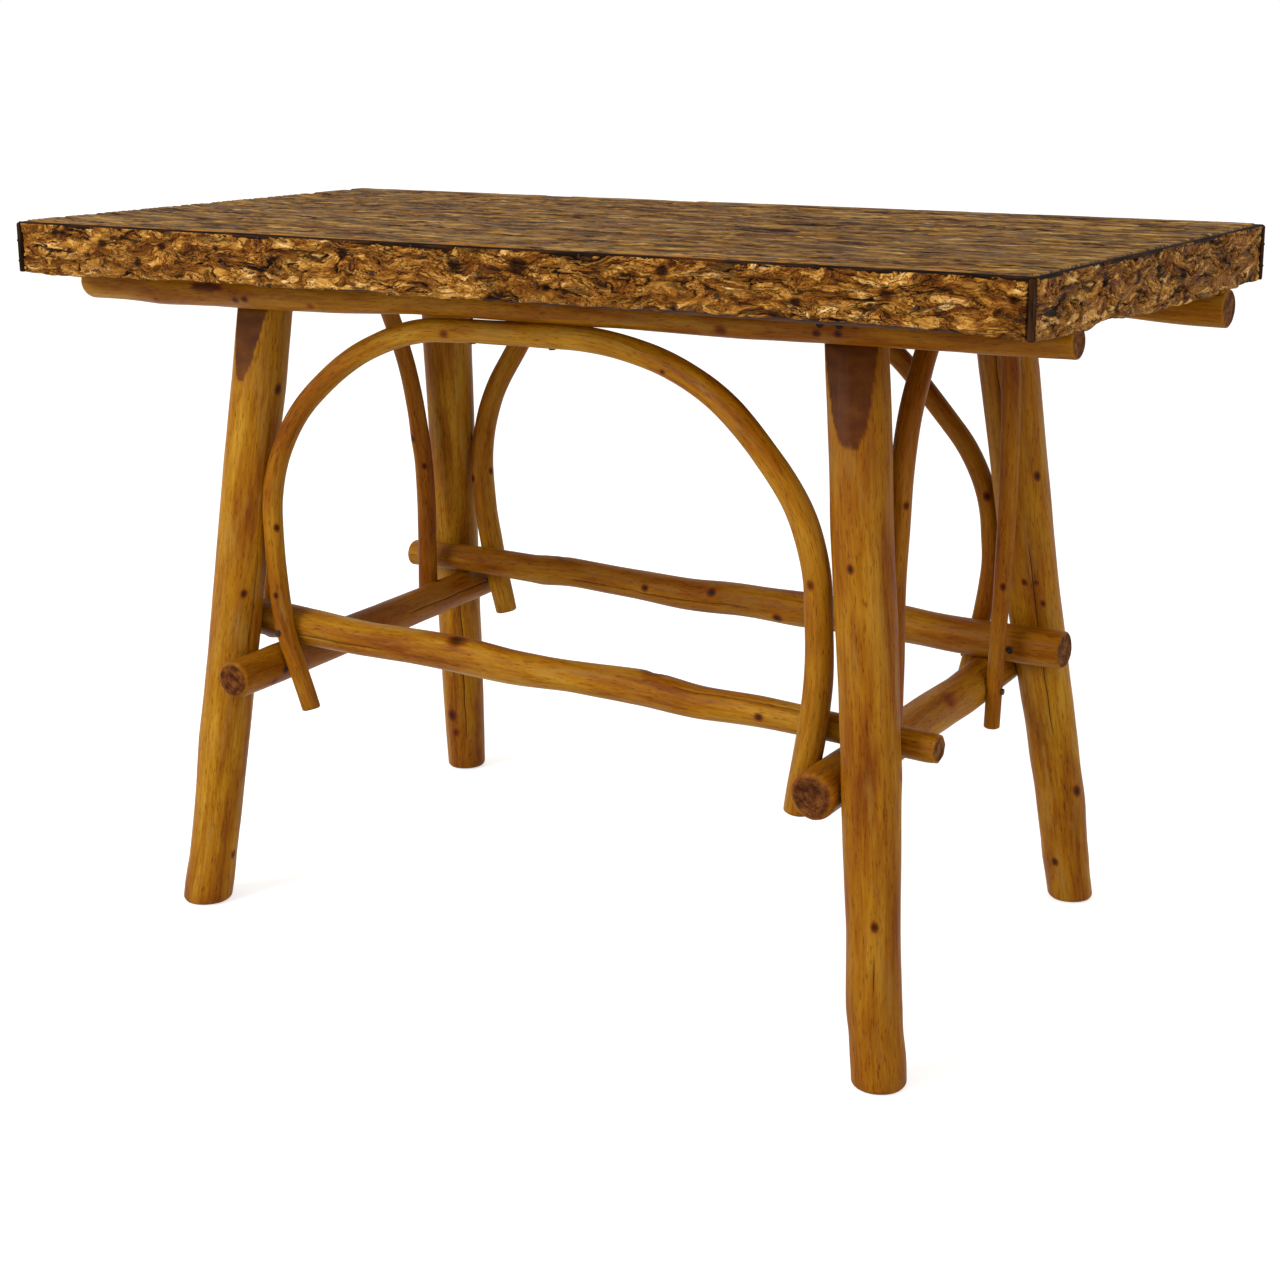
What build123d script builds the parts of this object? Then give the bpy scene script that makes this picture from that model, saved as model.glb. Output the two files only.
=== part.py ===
from build123d import *
from math import cos, radians, sin, sqrt, tan
import os

# A rustic table of peeled hickory poles with a bark-covered top. Millimetres, +Z up, +X along the
# table's length to the right, +Y towards its back. The origin is on the floor, under the middle of the top.

# ---- Driving dimensions -------------------------------------------------------------------------------

TABLE_LENGTH = 1200.0
TABLE_DEPTH = 590.0
TABLE_HEIGHT = 762.0

# The top: planks on battens, boxed in by apron boards, with bark over everything that shows
PLANK = 22.0
PLANK_COUNT = 5
BATTEN = 25.0
BATTEN_WIDTH = 112.0
BATTEN_INSET = 236.0  # from the table's end to the middle of an outer batten
APRON = 19.0
TOP_BARK = 6.0
TOP_BARK_STRIPS = 6
EDGE_BARK = 9.0
LONG_BARK_DROP = 61.0  # from the table's top to the lower edge of the front and back bark
TRIM = 8.0
TRIM_ROUND = 3.0
BOARD_GAP = 0.5

# Legs: from the table's end and its long edge to the foot's middle, and to the middle of the leg's top
LEGS = {
    ("front", "left"): dict(foot=(197.0, 32.0), top=(239.0, 141.0), foot_radius=27.5, top_radius=29.5),
    ("front", "right"): dict(foot=(134.0, 13.0), top=(237.0, 141.0), foot_radius=26.3, top_radius=30.0),
    ("back", "left"): dict(foot=(154.0, 11.6), top=(239.0, 138.0), foot_radius=25.2, top_radius=29.5),
    ("back", "right"): dict(foot=(167.0, 33.0), top=(235.5, 138.0), foot_radius=26.0, top_radius=32.0),
}
FOOT_BEVEL = 4.0
NOTCH_HEIGHT = 118.0
NOTCH_DEPTH = 14.0

# Rails, lying in the notches of the legs
RAILS = {
    "front": dict(left_radius=19.3, right_radius=16.3),
    "back": dict(left_radius=15.0, right_radius=18.5),
}
RAIL_END_INSET = 2.0

# Cross stretchers: how far above or below the common level their ends lie, and their reach past the legs
STRETCHER_LEVEL = 280.0
CROSS_STRETCHERS = {
    "left": dict(rises=(-7.0, 0.5), radii=(20.8, 19.5), reaches=(52.0, 32.0)),
    "right": dict(rises=(-16.0, -3.5), radii=(22.3, 21.3), reaches=(28.0, 16.0)),
}

# Long stretchers, lying on the cross stretchers, each nail set in from the middle of its leg
LONG_STRETCHERS = {
    "front": dict(radii=(20.0, 15.0), reaches=(30.0, 52.0), nail_insets=(12.0, 4.0)),
    "back": dict(radii=(16.3, 20.3), reaches=(34.0, 50.0), nail_insets=(4.0, 4.0)),
}

# Long arches, bent branches whose feet press on the cross stretchers: how far the feet reach below the
# stretcher level; then for the left and the right, between which shares of the rise from the stretchers
# to the top the branch runs upright, how far it is tucked behind the leg's side at the end of that run,
# seen from the front, and where its crown ends
LONG_ARCHES = {
    "front": dict(
        radius=12.5,
        foot_drop=54.0,
        left=dict(upright=(0.16, 0.572), tuck=3.2, crown_inset=418.0),
        right=dict(upright=(0.16, 0.54), tuck=5.2, crown_inset=430.0),
    ),
    "back": dict(
        radius=11.8,
        foot_drop=36.0,
        left=dict(upright=(0.14, 0.513), tuck=4.0, crown_inset=375.0),
        right=dict(upright=(0.19, 0.494), tuck=4.5, crown_inset=410.0),
    ),
}

# Side arches: corners as (distance in from the table's long edge, share of the rise), both upwards from
# the feet, and where the crown begins and ends. A front foot with an offset stands that far off the
# cross stretcher and presses on the front long stretcher instead.
SIDE_ARCHES = {
    "left": dict(
        radius=11.0,
        front_offset=18.0,
        front=((158.0, 0.01), (167.0, 0.75)),
        crown=(220.0, 240.0),
        back=((151.0, -0.09), (147.0, 0.37), (171.0, 0.65)),
    ),
    "right": dict(
        radius=10.6,
        front_offset=0.0,
        front=((144.0, -0.04), (158.0, 0.72)),
        crown=(227.0, 200.0),
        back=((180.0, -0.11), (159.0, 0.33), (151.5, 0.57), (161.5, 0.82)),
    ),
}
BEND_SHARE = 0.45  # of the shorter straight run beside a bend, used up by the bend

# Where two poles press together, each is hewn to a small flat
SEAT_CUT = 0.8
SEAT_SPAN = 36.0
SEAT_CLEAR = 12.0
CROWN_CLEARANCE = 0.15
POLE_BEVEL = 2.5

# Fasteners as (shank radius, length, head radius, head thickness)
SPIKE = (1.9, 64.0, 4.2, 1.6)
ARCH_NAIL = (1.5, 42.0, 3.4, 1.4)
APRON_NAIL = (1.4, 50.0, 3.0, 1.2)
SCREW = (2.2, 40.0, 4.4, 2.0)
TACK = (0.9, 20.0, 2.2, 0.8)
BRAD = (0.6, 22.0, 1.1, 0.8)
NAIL_CLEARANCE = 0.1
RAIL_NAIL_OFFSETS = (-10.0, 10.0)
CROSS_NAIL_OFFSETS = (-3.0, 15.0)  # from the middle of the leg towards the stretcher's end
CROWN_NAIL_OFFSETS = (-50.0, 50.0)
SIDE_CROWN_NAIL_OFFSETS = (-12.0, 12.0)
LEG_ARCH_NAIL_SHARE = 0.56  # of the rise, where the right arch is nailed to the leg behind it
BATTEN_FASTENER_OFFSETS = (-46.0, 46.0)
LONG_TACKS = 6
END_TACKS = 3
TACK_DROP = 33.0
BRAD_SLOPE = 35.0
CORNER_BRAD_DROPS = (22.0, 44.0)

# ---- Levels and lines that follow from them -------------------------------------------------------------

PLANK_TOP = TABLE_HEIGHT - TOP_BARK
PLANK_UNDER = PLANK_TOP - PLANK
UNDERSIDE = PLANK_UNDER - BATTEN
TRIM_UNDER = TABLE_HEIGHT - TRIM
LONG_BARK_UNDER = TABLE_HEIGHT - LONG_BARK_DROP

END_X = TABLE_LENGTH / 2
EDGE_Y = TABLE_DEPTH / 2
APRON_X = END_X - EDGE_BARK
APRON_Y = EDGE_Y - EDGE_BARK
PLANK_X = APRON_X - APRON
PLANK_Y = APRON_Y - APRON
RISE = UNDERSIDE - STRETCHER_LEVEL

ALONG = Vector(1, 0, 0)
ACROSS = Vector(0, 1, 0)
UP = Vector(0, 0, 1)
ROWS = {"front": -1, "back": 1}
SIDES = {"left": -1, "right": 1}
CENTERED = (Align.CENTER, Align.CENTER)


class Pole:
    """The axis and radii of a straight pole that tapers evenly from its start to its end."""

    def __init__(self, start, end, start_radius, end_radius):
        self.start = Vector(start)
        self.end = Vector(end)
        self.start_radius = start_radius
        self.end_radius = end_radius
        self.length = (self.end - self.start).length
        self.axis = (self.end - self.start).normalized()

    def at(self, direction, value):
        """The axis point whose coordinate along a direction has this value."""
        reach = (value - self.start.dot(direction)) / self.axis.dot(direction)
        return self.start + self.axis * reach

    def beside(self, point):
        """The axis point nearest to a point."""
        return self.start + self.axis * (point - self.start).dot(self.axis)

    def radius_at(self, point):
        share = (point - self.start).dot(self.axis) / self.length
        return self.start_radius + share * (self.end_radius - self.start_radius)

    def extended(self, before, after):
        """The same pole made longer at its start and its end, with the same taper."""
        start = self.start - self.axis * before
        end = self.end + self.axis * after
        return Pole(start, end, self.radius_at(start), self.radius_at(end))


class Arch:
    """A bent branch in one plane, its route from foot to foot given by (reach, height) corners."""

    def __init__(self, plane, corners, radius):
        self.plane = plane
        self.corners = [(reach, height / plane.y_dir.Z) for reach, height in corners]
        self.radius = radius

    def run(self, first, second):
        """The straight run between two corners, as a pole."""
        start, end = (self.plane.from_local_coords(Vector(*self.corners[i])) for i in (first, second))
        return Pole(start, end, self.radius, self.radius)

    def bend_radii(self):
        """The radius at each inner corner, as wide as the runs beside it allow."""
        points = [Vector(*corner) for corner in self.corners]
        runs = [after - before for before, after in zip(points, points[1:])]
        radii = []
        for before, after in zip(runs, runs[1:]):
            half_turn = radians(before.get_angle(after)) / 2
            radii.append(BEND_SHARE * min(before.length, after.length) / tan(half_turn))
        return radii


class Seat:
    """A flat that two pieces share, its normal pointing from the first to the second."""

    def __init__(self, plane, under, over, span=SEAT_SPAN):
        self.plane = plane
        self.under = under
        self.over = over
        self.span = span


class Fastener:
    """A nail or screw driven in a direction, its head flush with a point on the outermost piece."""

    def __init__(self, head_top, direction, size, pieces):
        self.shank_radius, self.length, self.head_radius, self.head = size
        self.pieces = pieces
        direction = direction.normalized()
        self.plane = Plane(origin=head_top + direction * self.head, z_dir=direction)


def flat_between(under, under_point, over, over_point, under_share=0.5, clearance=0.0):
    """The plane of the flat between two poles, a share of what they overlap into the first one."""
    apart = over_point - under_point
    normal = (apart - over.axis * apart.dot(over.axis)).normalized()
    overlap = under.radius_at(under_point) + over.radius_at(over_point) - apart.length
    origin = under_point + normal * (under.radius_at(under_point) - overlap * under_share + clearance)
    return Plane(origin=origin, x_dir=over.axis, z_dir=normal)


def flat_where_crossing(under, over):
    between = under.start - over.start
    skew = under.axis.dot(over.axis)
    along_under = under.axis.dot(between)
    along_over = over.axis.dot(between)
    square = 1 - skew * skew
    under_point = under.start + under.axis * ((skew * along_over - along_under) / square)
    over_point = over.start + over.axis * ((along_over - skew * along_under) / square)
    return flat_between(under, under_point, over, over_point)


def pressed(first_radius, second_radius):
    """The distance between two axes that press together on a flat."""
    return first_radius + second_radius - 2 * SEAT_CUT


def level_reach(leg, direction, height, radius):
    """How far level from a leg's axis, along a direction, the axis of a pole that presses on it lies."""
    lean = leg.axis.dot(direction) / leg.axis.dot(UP)
    return pressed(leg.radius_at(leg.at(UP, height)), radius) * sqrt(1 + lean * lean)


def arch_plane(first, second, direction, crown):
    """The plane through two low points that leans to a crown point, its origin on the floor."""
    line = Pole(first, second, 0, 0)
    middle = line.at(direction, 0)
    heading = Vector(line.axis.X, line.axis.Y, 0).normalized()
    normal = heading.cross(crown - middle).normalized()
    upwards = normal.cross(heading)
    return Plane(origin=middle - upwards * (middle.Z / upwards.Z), x_dir=heading, z_dir=normal)


# ---- Where the poles lie ----------------------------------------------------------------------------------

poles = {}
arches = {}
seats = {}
notches = {}

for (row, side), leg in LEGS.items():
    foot = (SIDES[side] * (END_X - leg["foot"][0]), ROWS[row] * (EDGE_Y - leg["foot"][1]), 0)
    top = (SIDES[side] * (END_X - leg["top"][0]), ROWS[row] * (EDGE_Y - leg["top"][1]), UNDERSIDE)
    poles[f"leg_{row}_{side}"] = Pole(foot, top, leg["foot_radius"], leg["top_radius"])

for row, outwards in ROWS.items():
    rail_radii = (RAILS[row]["left_radius"], RAILS[row]["right_radius"])
    ends = []
    for side, rail_radius in zip(SIDES, rail_radii):
        leg = poles[f"leg_{row}_{side}"]
        low = leg.at(UP, UNDERSIDE - NOTCH_HEIGHT)
        low_face = low + ACROSS * (outwards * leg.radius_at(low))
        high_face = leg.end + ACROSS * (outwards * (leg.end_radius - NOTCH_DEPTH))
        slope = Vector(0, high_face.Y - low_face.Y, high_face.Z - low_face.Z)
        normal = (ALONG.cross(slope) * -outwards).normalized()

        # The rail lies flat on the hewn face with its top hewn level with the leg's
        height = UNDERSIDE - rail_radius + SEAT_CUT
        off_face = rail_radius - SEAT_CUT
        depth = low_face.Y + (off_face - (height - low_face.Z) * normal.Z) / normal.Y
        middle = Vector(leg.end.X, depth, height)
        ends.append(middle)
        face = Plane(origin=middle - normal * off_face, x_dir=ALONG, z_dir=normal)
        notches[f"leg_{row}_{side}"] = face
        seats[row, side, "rail"] = Seat(face, None, f"rail_{row}", 2 * leg.end_radius + 8)
    rail = Pole(*ends, *rail_radii)
    reach = END_X - RAIL_END_INSET
    poles[f"rail_{row}"] = rail.extended(
        (rail.start - rail.at(ALONG, -reach)).length, (rail.end - rail.at(ALONG, reach)).length
    )

for side, outwards in SIDES.items():
    stretcher = CROSS_STRETCHERS[side]
    ends = []
    for row, rise, radius in zip(ROWS, stretcher["rises"], stretcher["radii"]):
        height = STRETCHER_LEVEL + rise
        leg = poles[f"leg_{row}_{side}"]
        ends.append(leg.at(UP, height) - ALONG * (outwards * level_reach(leg, ALONG, height, radius)))
    poles[f"cross_stretcher_{side}"] = Pole(*ends, *stretcher["radii"]).extended(*stretcher["reaches"])

for row, outwards in ROWS.items():
    stretcher = LONG_STRETCHERS[row]
    ends = []
    for side, radius in zip(SIDES, stretcher["radii"]):
        leg = poles[f"leg_{row}_{side}"]
        below = poles[f"cross_stretcher_{side}"]
        height = STRETCHER_LEVEL + below.start_radius + radius
        for _ in range(2):
            depth = leg.at(UP, height).Y - outwards * level_reach(leg, ACROSS, height, radius)
            crossed = below.at(ACROSS, depth)
            height = crossed.Z + pressed(below.radius_at(crossed), radius)
        ends.append(Vector(leg.at(UP, height).X, depth, height))
    poles[f"long_stretcher_{row}"] = Pole(*ends, *stretcher["radii"]).extended(*stretcher["reaches"])

for row, outwards in ROWS.items():
    shape = LONG_ARCHES[row]
    radius = shape["radius"]
    stretcher = poles[f"long_stretcher_{row}"]
    rail = poles[f"rail_{row}"]
    crowns = {side: SIDES[side] * (END_X - shape[side]["crown_inset"]) for side in SIDES}
    reaches = {}
    for side, towards in SIDES.items():
        leg = poles[f"leg_{row}_{side}"]
        beside = leg.at(UP, STRETCHER_LEVEL + shape[side]["upright"][1] * RISE)
        away = leg.radius_at(beside) + radius - shape[side]["tuck"]
        reaches[side] = beside.X - towards * away

    # The branch stands against the outer face of the long stretcher
    against = []
    for reach in reaches.values():
        point = stretcher.at(ALONG, reach)
        against.append(point + ACROSS * (outwards * pressed(stretcher.radius_at(point), radius)))
    rail_middle = rail.at(ALONG, 0)
    crown_middle = rail_middle - UP * pressed(rail.radius_at(rail_middle), radius)
    plane = arch_plane(*against, ALONG, crown_middle)

    # Each foot leans in past the inner face of a cross stretcher, and the crown presses on the rail
    halves = {}
    for side, towards in SIDES.items():
        low_share, high_share = shape[side]["upright"]
        low = STRETCHER_LEVEL + low_share * RISE
        high = STRETCHER_LEVEL + high_share * RISE
        below = poles[f"cross_stretcher_{side}"]
        crossed = below.at(ACROSS, plane.from_local_coords(Vector(reaches[side], STRETCHER_LEVEL)).Y)
        inner = crossed.X - towards * pressed(below.radius_at(crossed), radius)
        foot_height = STRETCHER_LEVEL - shape["foot_drop"]
        lean = (inner - reaches[side]) / (crossed.Z - low)
        foot = (inner + lean * (foot_height - crossed.Z), foot_height)

        above = rail.at(ALONG, crowns[side])
        beside = above.Y - plane.from_local_coords(Vector(crowns[side], crown_middle.Z)).Y
        crown_height = above.Z - sqrt(pressed(rail.radius_at(above), radius) ** 2 - beside**2)
        halves[side] = [foot, (reaches[side], low), (reaches[side], high), (crowns[side], crown_height)]
    arches[f"arch_{row}"] = Arch(plane, halves["left"] + halves["right"][::-1], radius)

for side, outwards in SIDES.items():
    shape = SIDE_ARCHES[side]
    radius = shape["radius"]
    stretcher = poles[f"cross_stretcher_{side}"]

    def route(row, corners):
        return [(ROWS[row] * (EDGE_Y - inset), STRETCHER_LEVEL + share * RISE) for inset, share in corners]

    # The branch stands against the outer face of the cross stretcher
    front = route("front", shape["front"])
    back = route("back", shape["back"])
    against = []
    for reach, offset in ((front[0][0], shape["front_offset"]), (back[0][0], 0)):
        point = stretcher.at(ACROSS, reach)
        away = pressed(stretcher.radius_at(point), radius) + offset
        against.append(point + ALONG * (outwards * away))
    if shape["front_offset"]:
        carrier = poles["long_stretcher_front"]
        carried = carrier.at(ALONG, against[0].X)
        beside = carried.Y + pressed(carrier.radius_at(carried), radius)
        (_, foot_height), (knee, knee_height) = front
        lean = (knee - beside) / (knee_height - carried.Z)
        front[0] = (beside - lean * (carried.Z - foot_height), foot_height)
    crown_height = UNDERSIDE - radius + SEAT_CUT
    crown = [(ROWS[row] * (EDGE_Y - inset), crown_height) for row, inset in zip(ROWS, shape["crown"])]
    plane = arch_plane(*against, ACROSS, (against[0] + against[1]) * 0.5 + UP)
    arches[f"arch_{side}"] = Arch(plane, front + crown + back[::-1], radius)

# ---- Where they press together ------------------------------------------------------------------------------

for row in ROWS:
    for side in SIDES:
        leg, cross, long = f"leg_{row}_{side}", f"cross_stretcher_{side}", f"long_stretcher_{row}"
        foot = arches[f"arch_{row}"].run(0, 1) if side == "left" else arches[f"arch_{row}"].run(7, 6)
        seats[row, side, "cross"] = Seat(flat_where_crossing(poles[leg], poles[cross]), leg, cross)
        seats[row, side, "long"] = Seat(flat_where_crossing(poles[leg], poles[long]), leg, long)
        seats[row, side, "stacked"] = Seat(flat_where_crossing(poles[cross], poles[long]), cross, long)
        seats[row, side, "foot"] = Seat(flat_where_crossing(poles[cross], foot), cross, f"arch_{row}")
        seats[row, side, "shin"] = Seat(flat_where_crossing(poles[long], foot), long, f"arch_{row}")

    # The rails stay round under their length, so only the crowns are hewn
    rail = poles[f"rail_{row}"]
    crown = arches[f"arch_{row}"].run(3, 4)
    middle = (crown.start + crown.end) * 0.5
    flat = flat_between(rail, rail.beside(middle), crown, middle, 0, CROWN_CLEARANCE)
    seats[row, "crown"] = Seat(flat, None, f"arch_{row}", crown.length)

SIDE_FEET = (
    ("left", "front", (0, 1), "long_stretcher_front"),
    ("left", "back", (6, 5), "cross_stretcher_left"),
    ("right", "front", (0, 1), "cross_stretcher_right"),
    ("right", "back", (7, 6), "cross_stretcher_right"),
)
for side, row, run, carrier in SIDE_FEET:
    foot = arches[f"arch_{side}"].run(*run)
    seats[side, row, "side foot"] = Seat(flat_where_crossing(poles[carrier], foot), carrier, f"arch_{side}")

# The right arch also leans on the leg behind it, along its highest straight run
leg = poles["leg_back_right"]
knee = arches["arch_right"].run(5, 4)
middle = (knee.start + knee.end) * 0.5
flat = flat_between(leg, leg.beside(middle), knee, middle)
seats["knee"] = Seat(flat, "leg_back_right", "arch_right", knee.length)

# ---- Fasteners --------------------------------------------------------------------------------------------------


def nails_through(outer, inner, run, seat, size, offsets=(0,)):
    """Nails through the outer of two poles into the inner one, spaced along the outer one."""
    away = seat.plane.z_dir if seat.over == outer else -seat.plane.z_dir
    nails = []
    for offset in offsets:
        point = run.beside(seat.plane.origin) + run.axis * offset
        nails.append(Fastener(point + away * run.radius_at(point), -away, size, (outer, inner)))
    return nails


def spread(count, length):
    """Evenly spaced places along a length, with half a space at each end."""
    return [(i + 0.5) * length / count - length / 2 for i in range(count)]


plank_places = spread(PLANK_COUNT, 2 * PLANK_Y)
batten_places = dict(zip(("left", "middle", "right"), (BATTEN_INSET - END_X, 0, END_X - BATTEN_INSET)))

rail_nails = []
cross_nails = []
long_nails = []
arch_nails = []
for row, outwards in ROWS.items():
    arch_name, rail_name, long_name = f"arch_{row}", f"rail_{row}", f"long_stretcher_{row}"
    arch = arches[arch_name]
    for (side, towards), nail_inset in zip(SIDES.items(), LONG_STRETCHERS[row]["nail_insets"]):
        leg_name, cross_name = f"leg_{row}_{side}", f"cross_stretcher_{side}"
        rail_nails += nails_through(
            rail_name, leg_name, poles[rail_name], seats[row, side, "rail"], SPIKE, RAIL_NAIL_OFFSETS
        )
        cross_nails += nails_through(
            cross_name,
            leg_name,
            poles[cross_name],
            seats[row, side, "cross"],
            SPIKE,
            [outwards * offset for offset in CROSS_NAIL_OFFSETS],
        )
        long_nails += nails_through(
            long_name,
            leg_name,
            poles[long_name],
            seats[row, side, "long"],
            SPIKE,
            [-towards * nail_inset],
        )
        foot = arch.run(0, 1) if side == "left" else arch.run(7, 6)
        arch_nails += nails_through(arch_name, cross_name, foot, seats[row, side, "foot"], ARCH_NAIL)
        arch_nails += nails_through(arch_name, long_name, foot, seats[row, side, "shin"], ARCH_NAIL)
    arch_nails += nails_through(
        arch_name, rail_name, arch.run(3, 4), seats[row, "crown"], ARCH_NAIL, CROWN_NAIL_OFFSETS
    )

for side, row, run, carrier in SIDE_FEET:
    foot = arches[f"arch_{side}"].run(*run)
    seat = seats[side, row, "side foot"]
    arch_nails += nails_through(f"arch_{side}", carrier, foot, seat, ARCH_NAIL)

knee_point = knee.at(UP, STRETCHER_LEVEL + LEG_ARCH_NAIL_SHARE * RISE)
towards_leg = (leg.beside(knee_point) - knee_point).normalized()
head_top = knee_point - towards_leg * knee.start_radius
arch_nails.append(Fastener(head_top, towards_leg, ARCH_NAIL, ("arch_right", "leg_back_right")))

for side in SIDES:
    crown = arches[f"arch_{side}"].run(2, 3)
    middle = (crown.start + crown.end) * 0.5
    for offset in SIDE_CROWN_NAIL_OFFSETS:
        head_top = middle + crown.axis * offset - UP * crown.start_radius
        arch_nails.append(Fastener(head_top, UP, ARCH_NAIL, (f"arch_{side}", f"batten_{side}")))

screws = []
apron_nails = []
for index, place in enumerate(plank_places):
    for batten, x in batten_places.items():
        for offset in BATTEN_FASTENER_OFFSETS:
            pieces = (f"batten_{batten}", f"top_plank_{index + 1}")
            screws.append(Fastener(Vector(x + offset, place, UNDERSIDE), UP, SCREW, pieces))
    for side, outwards in SIDES.items():
        head_top = Vector(outwards * APRON_X, place, PLANK_TOP - PLANK / 2)
        pieces = (f"apron_{side}", f"top_plank_{index + 1}")
        apron_nails.append(Fastener(head_top, ALONG * -outwards, APRON_NAIL, pieces))
for row, outwards in ROWS.items():
    for batten, x in batten_places.items():
        for offset in BATTEN_FASTENER_OFFSETS:
            head_top = Vector(x + offset, outwards * APRON_Y, UNDERSIDE + BATTEN / 2)
            pieces = (f"apron_{row}", f"batten_{batten}")
            apron_nails.append(Fastener(head_top, ACROSS * -outwards, APRON_NAIL, pieces))

tacks = []
brads = []
slope = radians(BRAD_SLOPE)
EDGES = {
    "front": (-ACROSS, ALONG, EDGE_Y, 2 * APRON_X, LONG_TACKS),
    "back": (ACROSS, ALONG, EDGE_Y, 2 * APRON_X, LONG_TACKS),
    "left": (-ALONG, ACROSS, END_X, 2 * APRON_Y, END_TACKS),
    "right": (ALONG, ACROSS, END_X, 2 * APRON_Y, END_TACKS),
}
for edge, (outwards, heading, reach, length, count) in EDGES.items():
    for place in spread(count, length):
        outer = outwards * reach + heading * place
        tack_top = outer + UP * (TABLE_HEIGHT - TACK_DROP)
        tacks.append(Fastener(tack_top, -outwards, TACK, (f"edge_bark_{edge}", f"apron_{edge}")))
        sunk = outwards * (BRAD[2] * sin(slope))
        brad_top = outer - sunk + UP * (TRIM_UNDER + TRIM / 2) + heading * (length / count / 4)
        inwards = -outwards * cos(slope) - UP * sin(slope)
        pieces = (f"edge_trim_{edge}", f"edge_bark_{edge}", f"apron_{edge}")
        brads.append(Fastener(brad_top, inwards, BRAD, pieces))
for row, back in ROWS.items():
    for side, right in SIDES.items():
        diagonal = Vector(right, back, 0).normalized()
        for drop in CORNER_BRAD_DROPS:
            corner = Vector(right * END_X, back * EDGE_Y, TABLE_HEIGHT - drop)
            head_top = corner - diagonal * (TRIM_ROUND * (sqrt(2) - 1))
            pieces = (f"corner_trim_{row}_{side}", f"edge_bark_{row}", f"edge_bark_{side}", f"apron_{row}")
            brads.append(Fastener(head_top, -diagonal, BRAD, pieces))

fasteners = {
    "rail_nails": rail_nails,
    "cross_stretcher_nails": cross_nails,
    "long_stretcher_nails": long_nails,
    "arch_nails": arch_nails,
    "batten_screws": screws,
    "apron_nails": apron_nails,
    "bark_tacks": tacks,
    "trim_brads": brads,
}

# ---- The pieces --------------------------------------------------------------------------------------------------

os.makedirs("parts", exist_ok=True)


def write(piece, name):
    piece.part.label = name
    export_step(piece.part, f"parts/{name}.step")


def drill(name):
    """Cuts the holes of every fastener that enters the piece being built, and sinks those heads."""
    for group in fasteners.values():
        for nail in group:
            if name in nail.pieces:
                with Locations(nail.plane):
                    Cylinder(
                        nail.shank_radius + NAIL_CLEARANCE,
                        nail.length + NAIL_CLEARANCE,
                        align=(*CENTERED, Align.MIN),
                        mode=Mode.SUBTRACT,
                    )
            if name == nail.pieces[0]:
                with Locations(nail.plane):
                    Cylinder(
                        nail.head_radius + NAIL_CLEARANCE,
                        nail.head + nail.head_radius,
                        align=(*CENTERED, Align.MAX),
                        mode=Mode.SUBTRACT,
                    )


def hew_seats(name):
    """Cuts the flats of the pole being built where other poles press on it."""
    for seat in seats.values():
        for piece, beyond in ((seat.under, Align.MIN), (seat.over, Align.MAX)):
            if name == piece:
                with Locations(seat.plane):
                    Box(seat.span, SEAT_SPAN, SEAT_CLEAR, align=(*CENTERED, beyond), mode=Mode.SUBTRACT)


def tapered(pole):
    with Locations(Plane(origin=pole.start, z_dir=pole.axis)):
        Cone(pole.start_radius, pole.end_radius, pole.length, align=(*CENTERED, Align.MIN))


# Legs stand on level feet under the battens, with a notch hewn for the rail
for name in [f"leg_{row}_{side}" for row in ROWS for side in SIDES]:
    with BuildPart() as leg_part:
        tapered(poles[name].extended(SEAT_CLEAR, SEAT_CLEAR))
        split(bisect_by=Plane.XY)
        split(bisect_by=Plane.XY.offset(UNDERSIDE), keep=Keep.BOTTOM)
        chamfer(leg_part.faces().sort_by(Axis.Z)[0].edges(), FOOT_BEVEL)
        split(bisect_by=notches[name], keep=Keep.BOTTOM)
        hew_seats(name)
        drill(name)
    write(leg_part, name)

# Rails and stretchers
for name in [name for name in poles if not name.startswith("leg")]:
    with BuildPart() as pole_part:
        tapered(poles[name])
        chamfer(pole_part.edges().filter_by(GeomType.CIRCLE), POLE_BEVEL)
        if name.startswith("rail"):
            split(bisect_by=Plane.XY.offset(UNDERSIDE), keep=Keep.BOTTOM)
        hew_seats(name)
        drill(name)
    write(pole_part, name)

# Arches
for name, arch in arches.items():
    with BuildPart() as arch_part:
        with BuildLine(arch.plane) as arch_line:
            FilletPolyline(*arch.corners, radius=arch.bend_radii())
        with BuildSketch(Plane(origin=arch_line.line @ 0, z_dir=arch_line.line % 0)):
            Circle(arch.radius)
        sweep()
        chamfer(arch_part.faces().filter_by(GeomType.PLANE).edges(), POLE_BEVEL)
        split(bisect_by=Plane.XY.offset(UNDERSIDE), keep=Keep.BOTTOM)
        hew_seats(name)
        drill(name)
    write(arch_part, name)


def board(name, low, high, rounded=None):
    """A drilled board between two opposite corners, with one long edge rounded if its way out is given."""
    low, high = Vector(low), Vector(high)
    size = high - low
    with BuildPart() as board_part:
        with Locations((low + high) * 0.5):
            Box(size.X, size.Y, size.Z)
        if rounded:
            longest = max((Axis.X, size.X), (Axis.Y, size.Y), (Axis.Z, size.Z), key=lambda pair: pair[1])[0]
            outermost = board_part.edges().filter_by(longest).sort_by(Axis((0, 0, 0), rounded))[-1]
            fillet(outermost, TRIM_ROUND)
        drill(name)
    write(board_part, name)


# Planks, laid along the table
plank_half = PLANK_Y / PLANK_COUNT - BOARD_GAP / 2
for index, place in enumerate(plank_places):
    board(
        f"top_plank_{index + 1}",
        (-PLANK_X, place - plank_half, PLANK_UNDER),
        (PLANK_X, place + plank_half, PLANK_TOP),
    )

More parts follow.
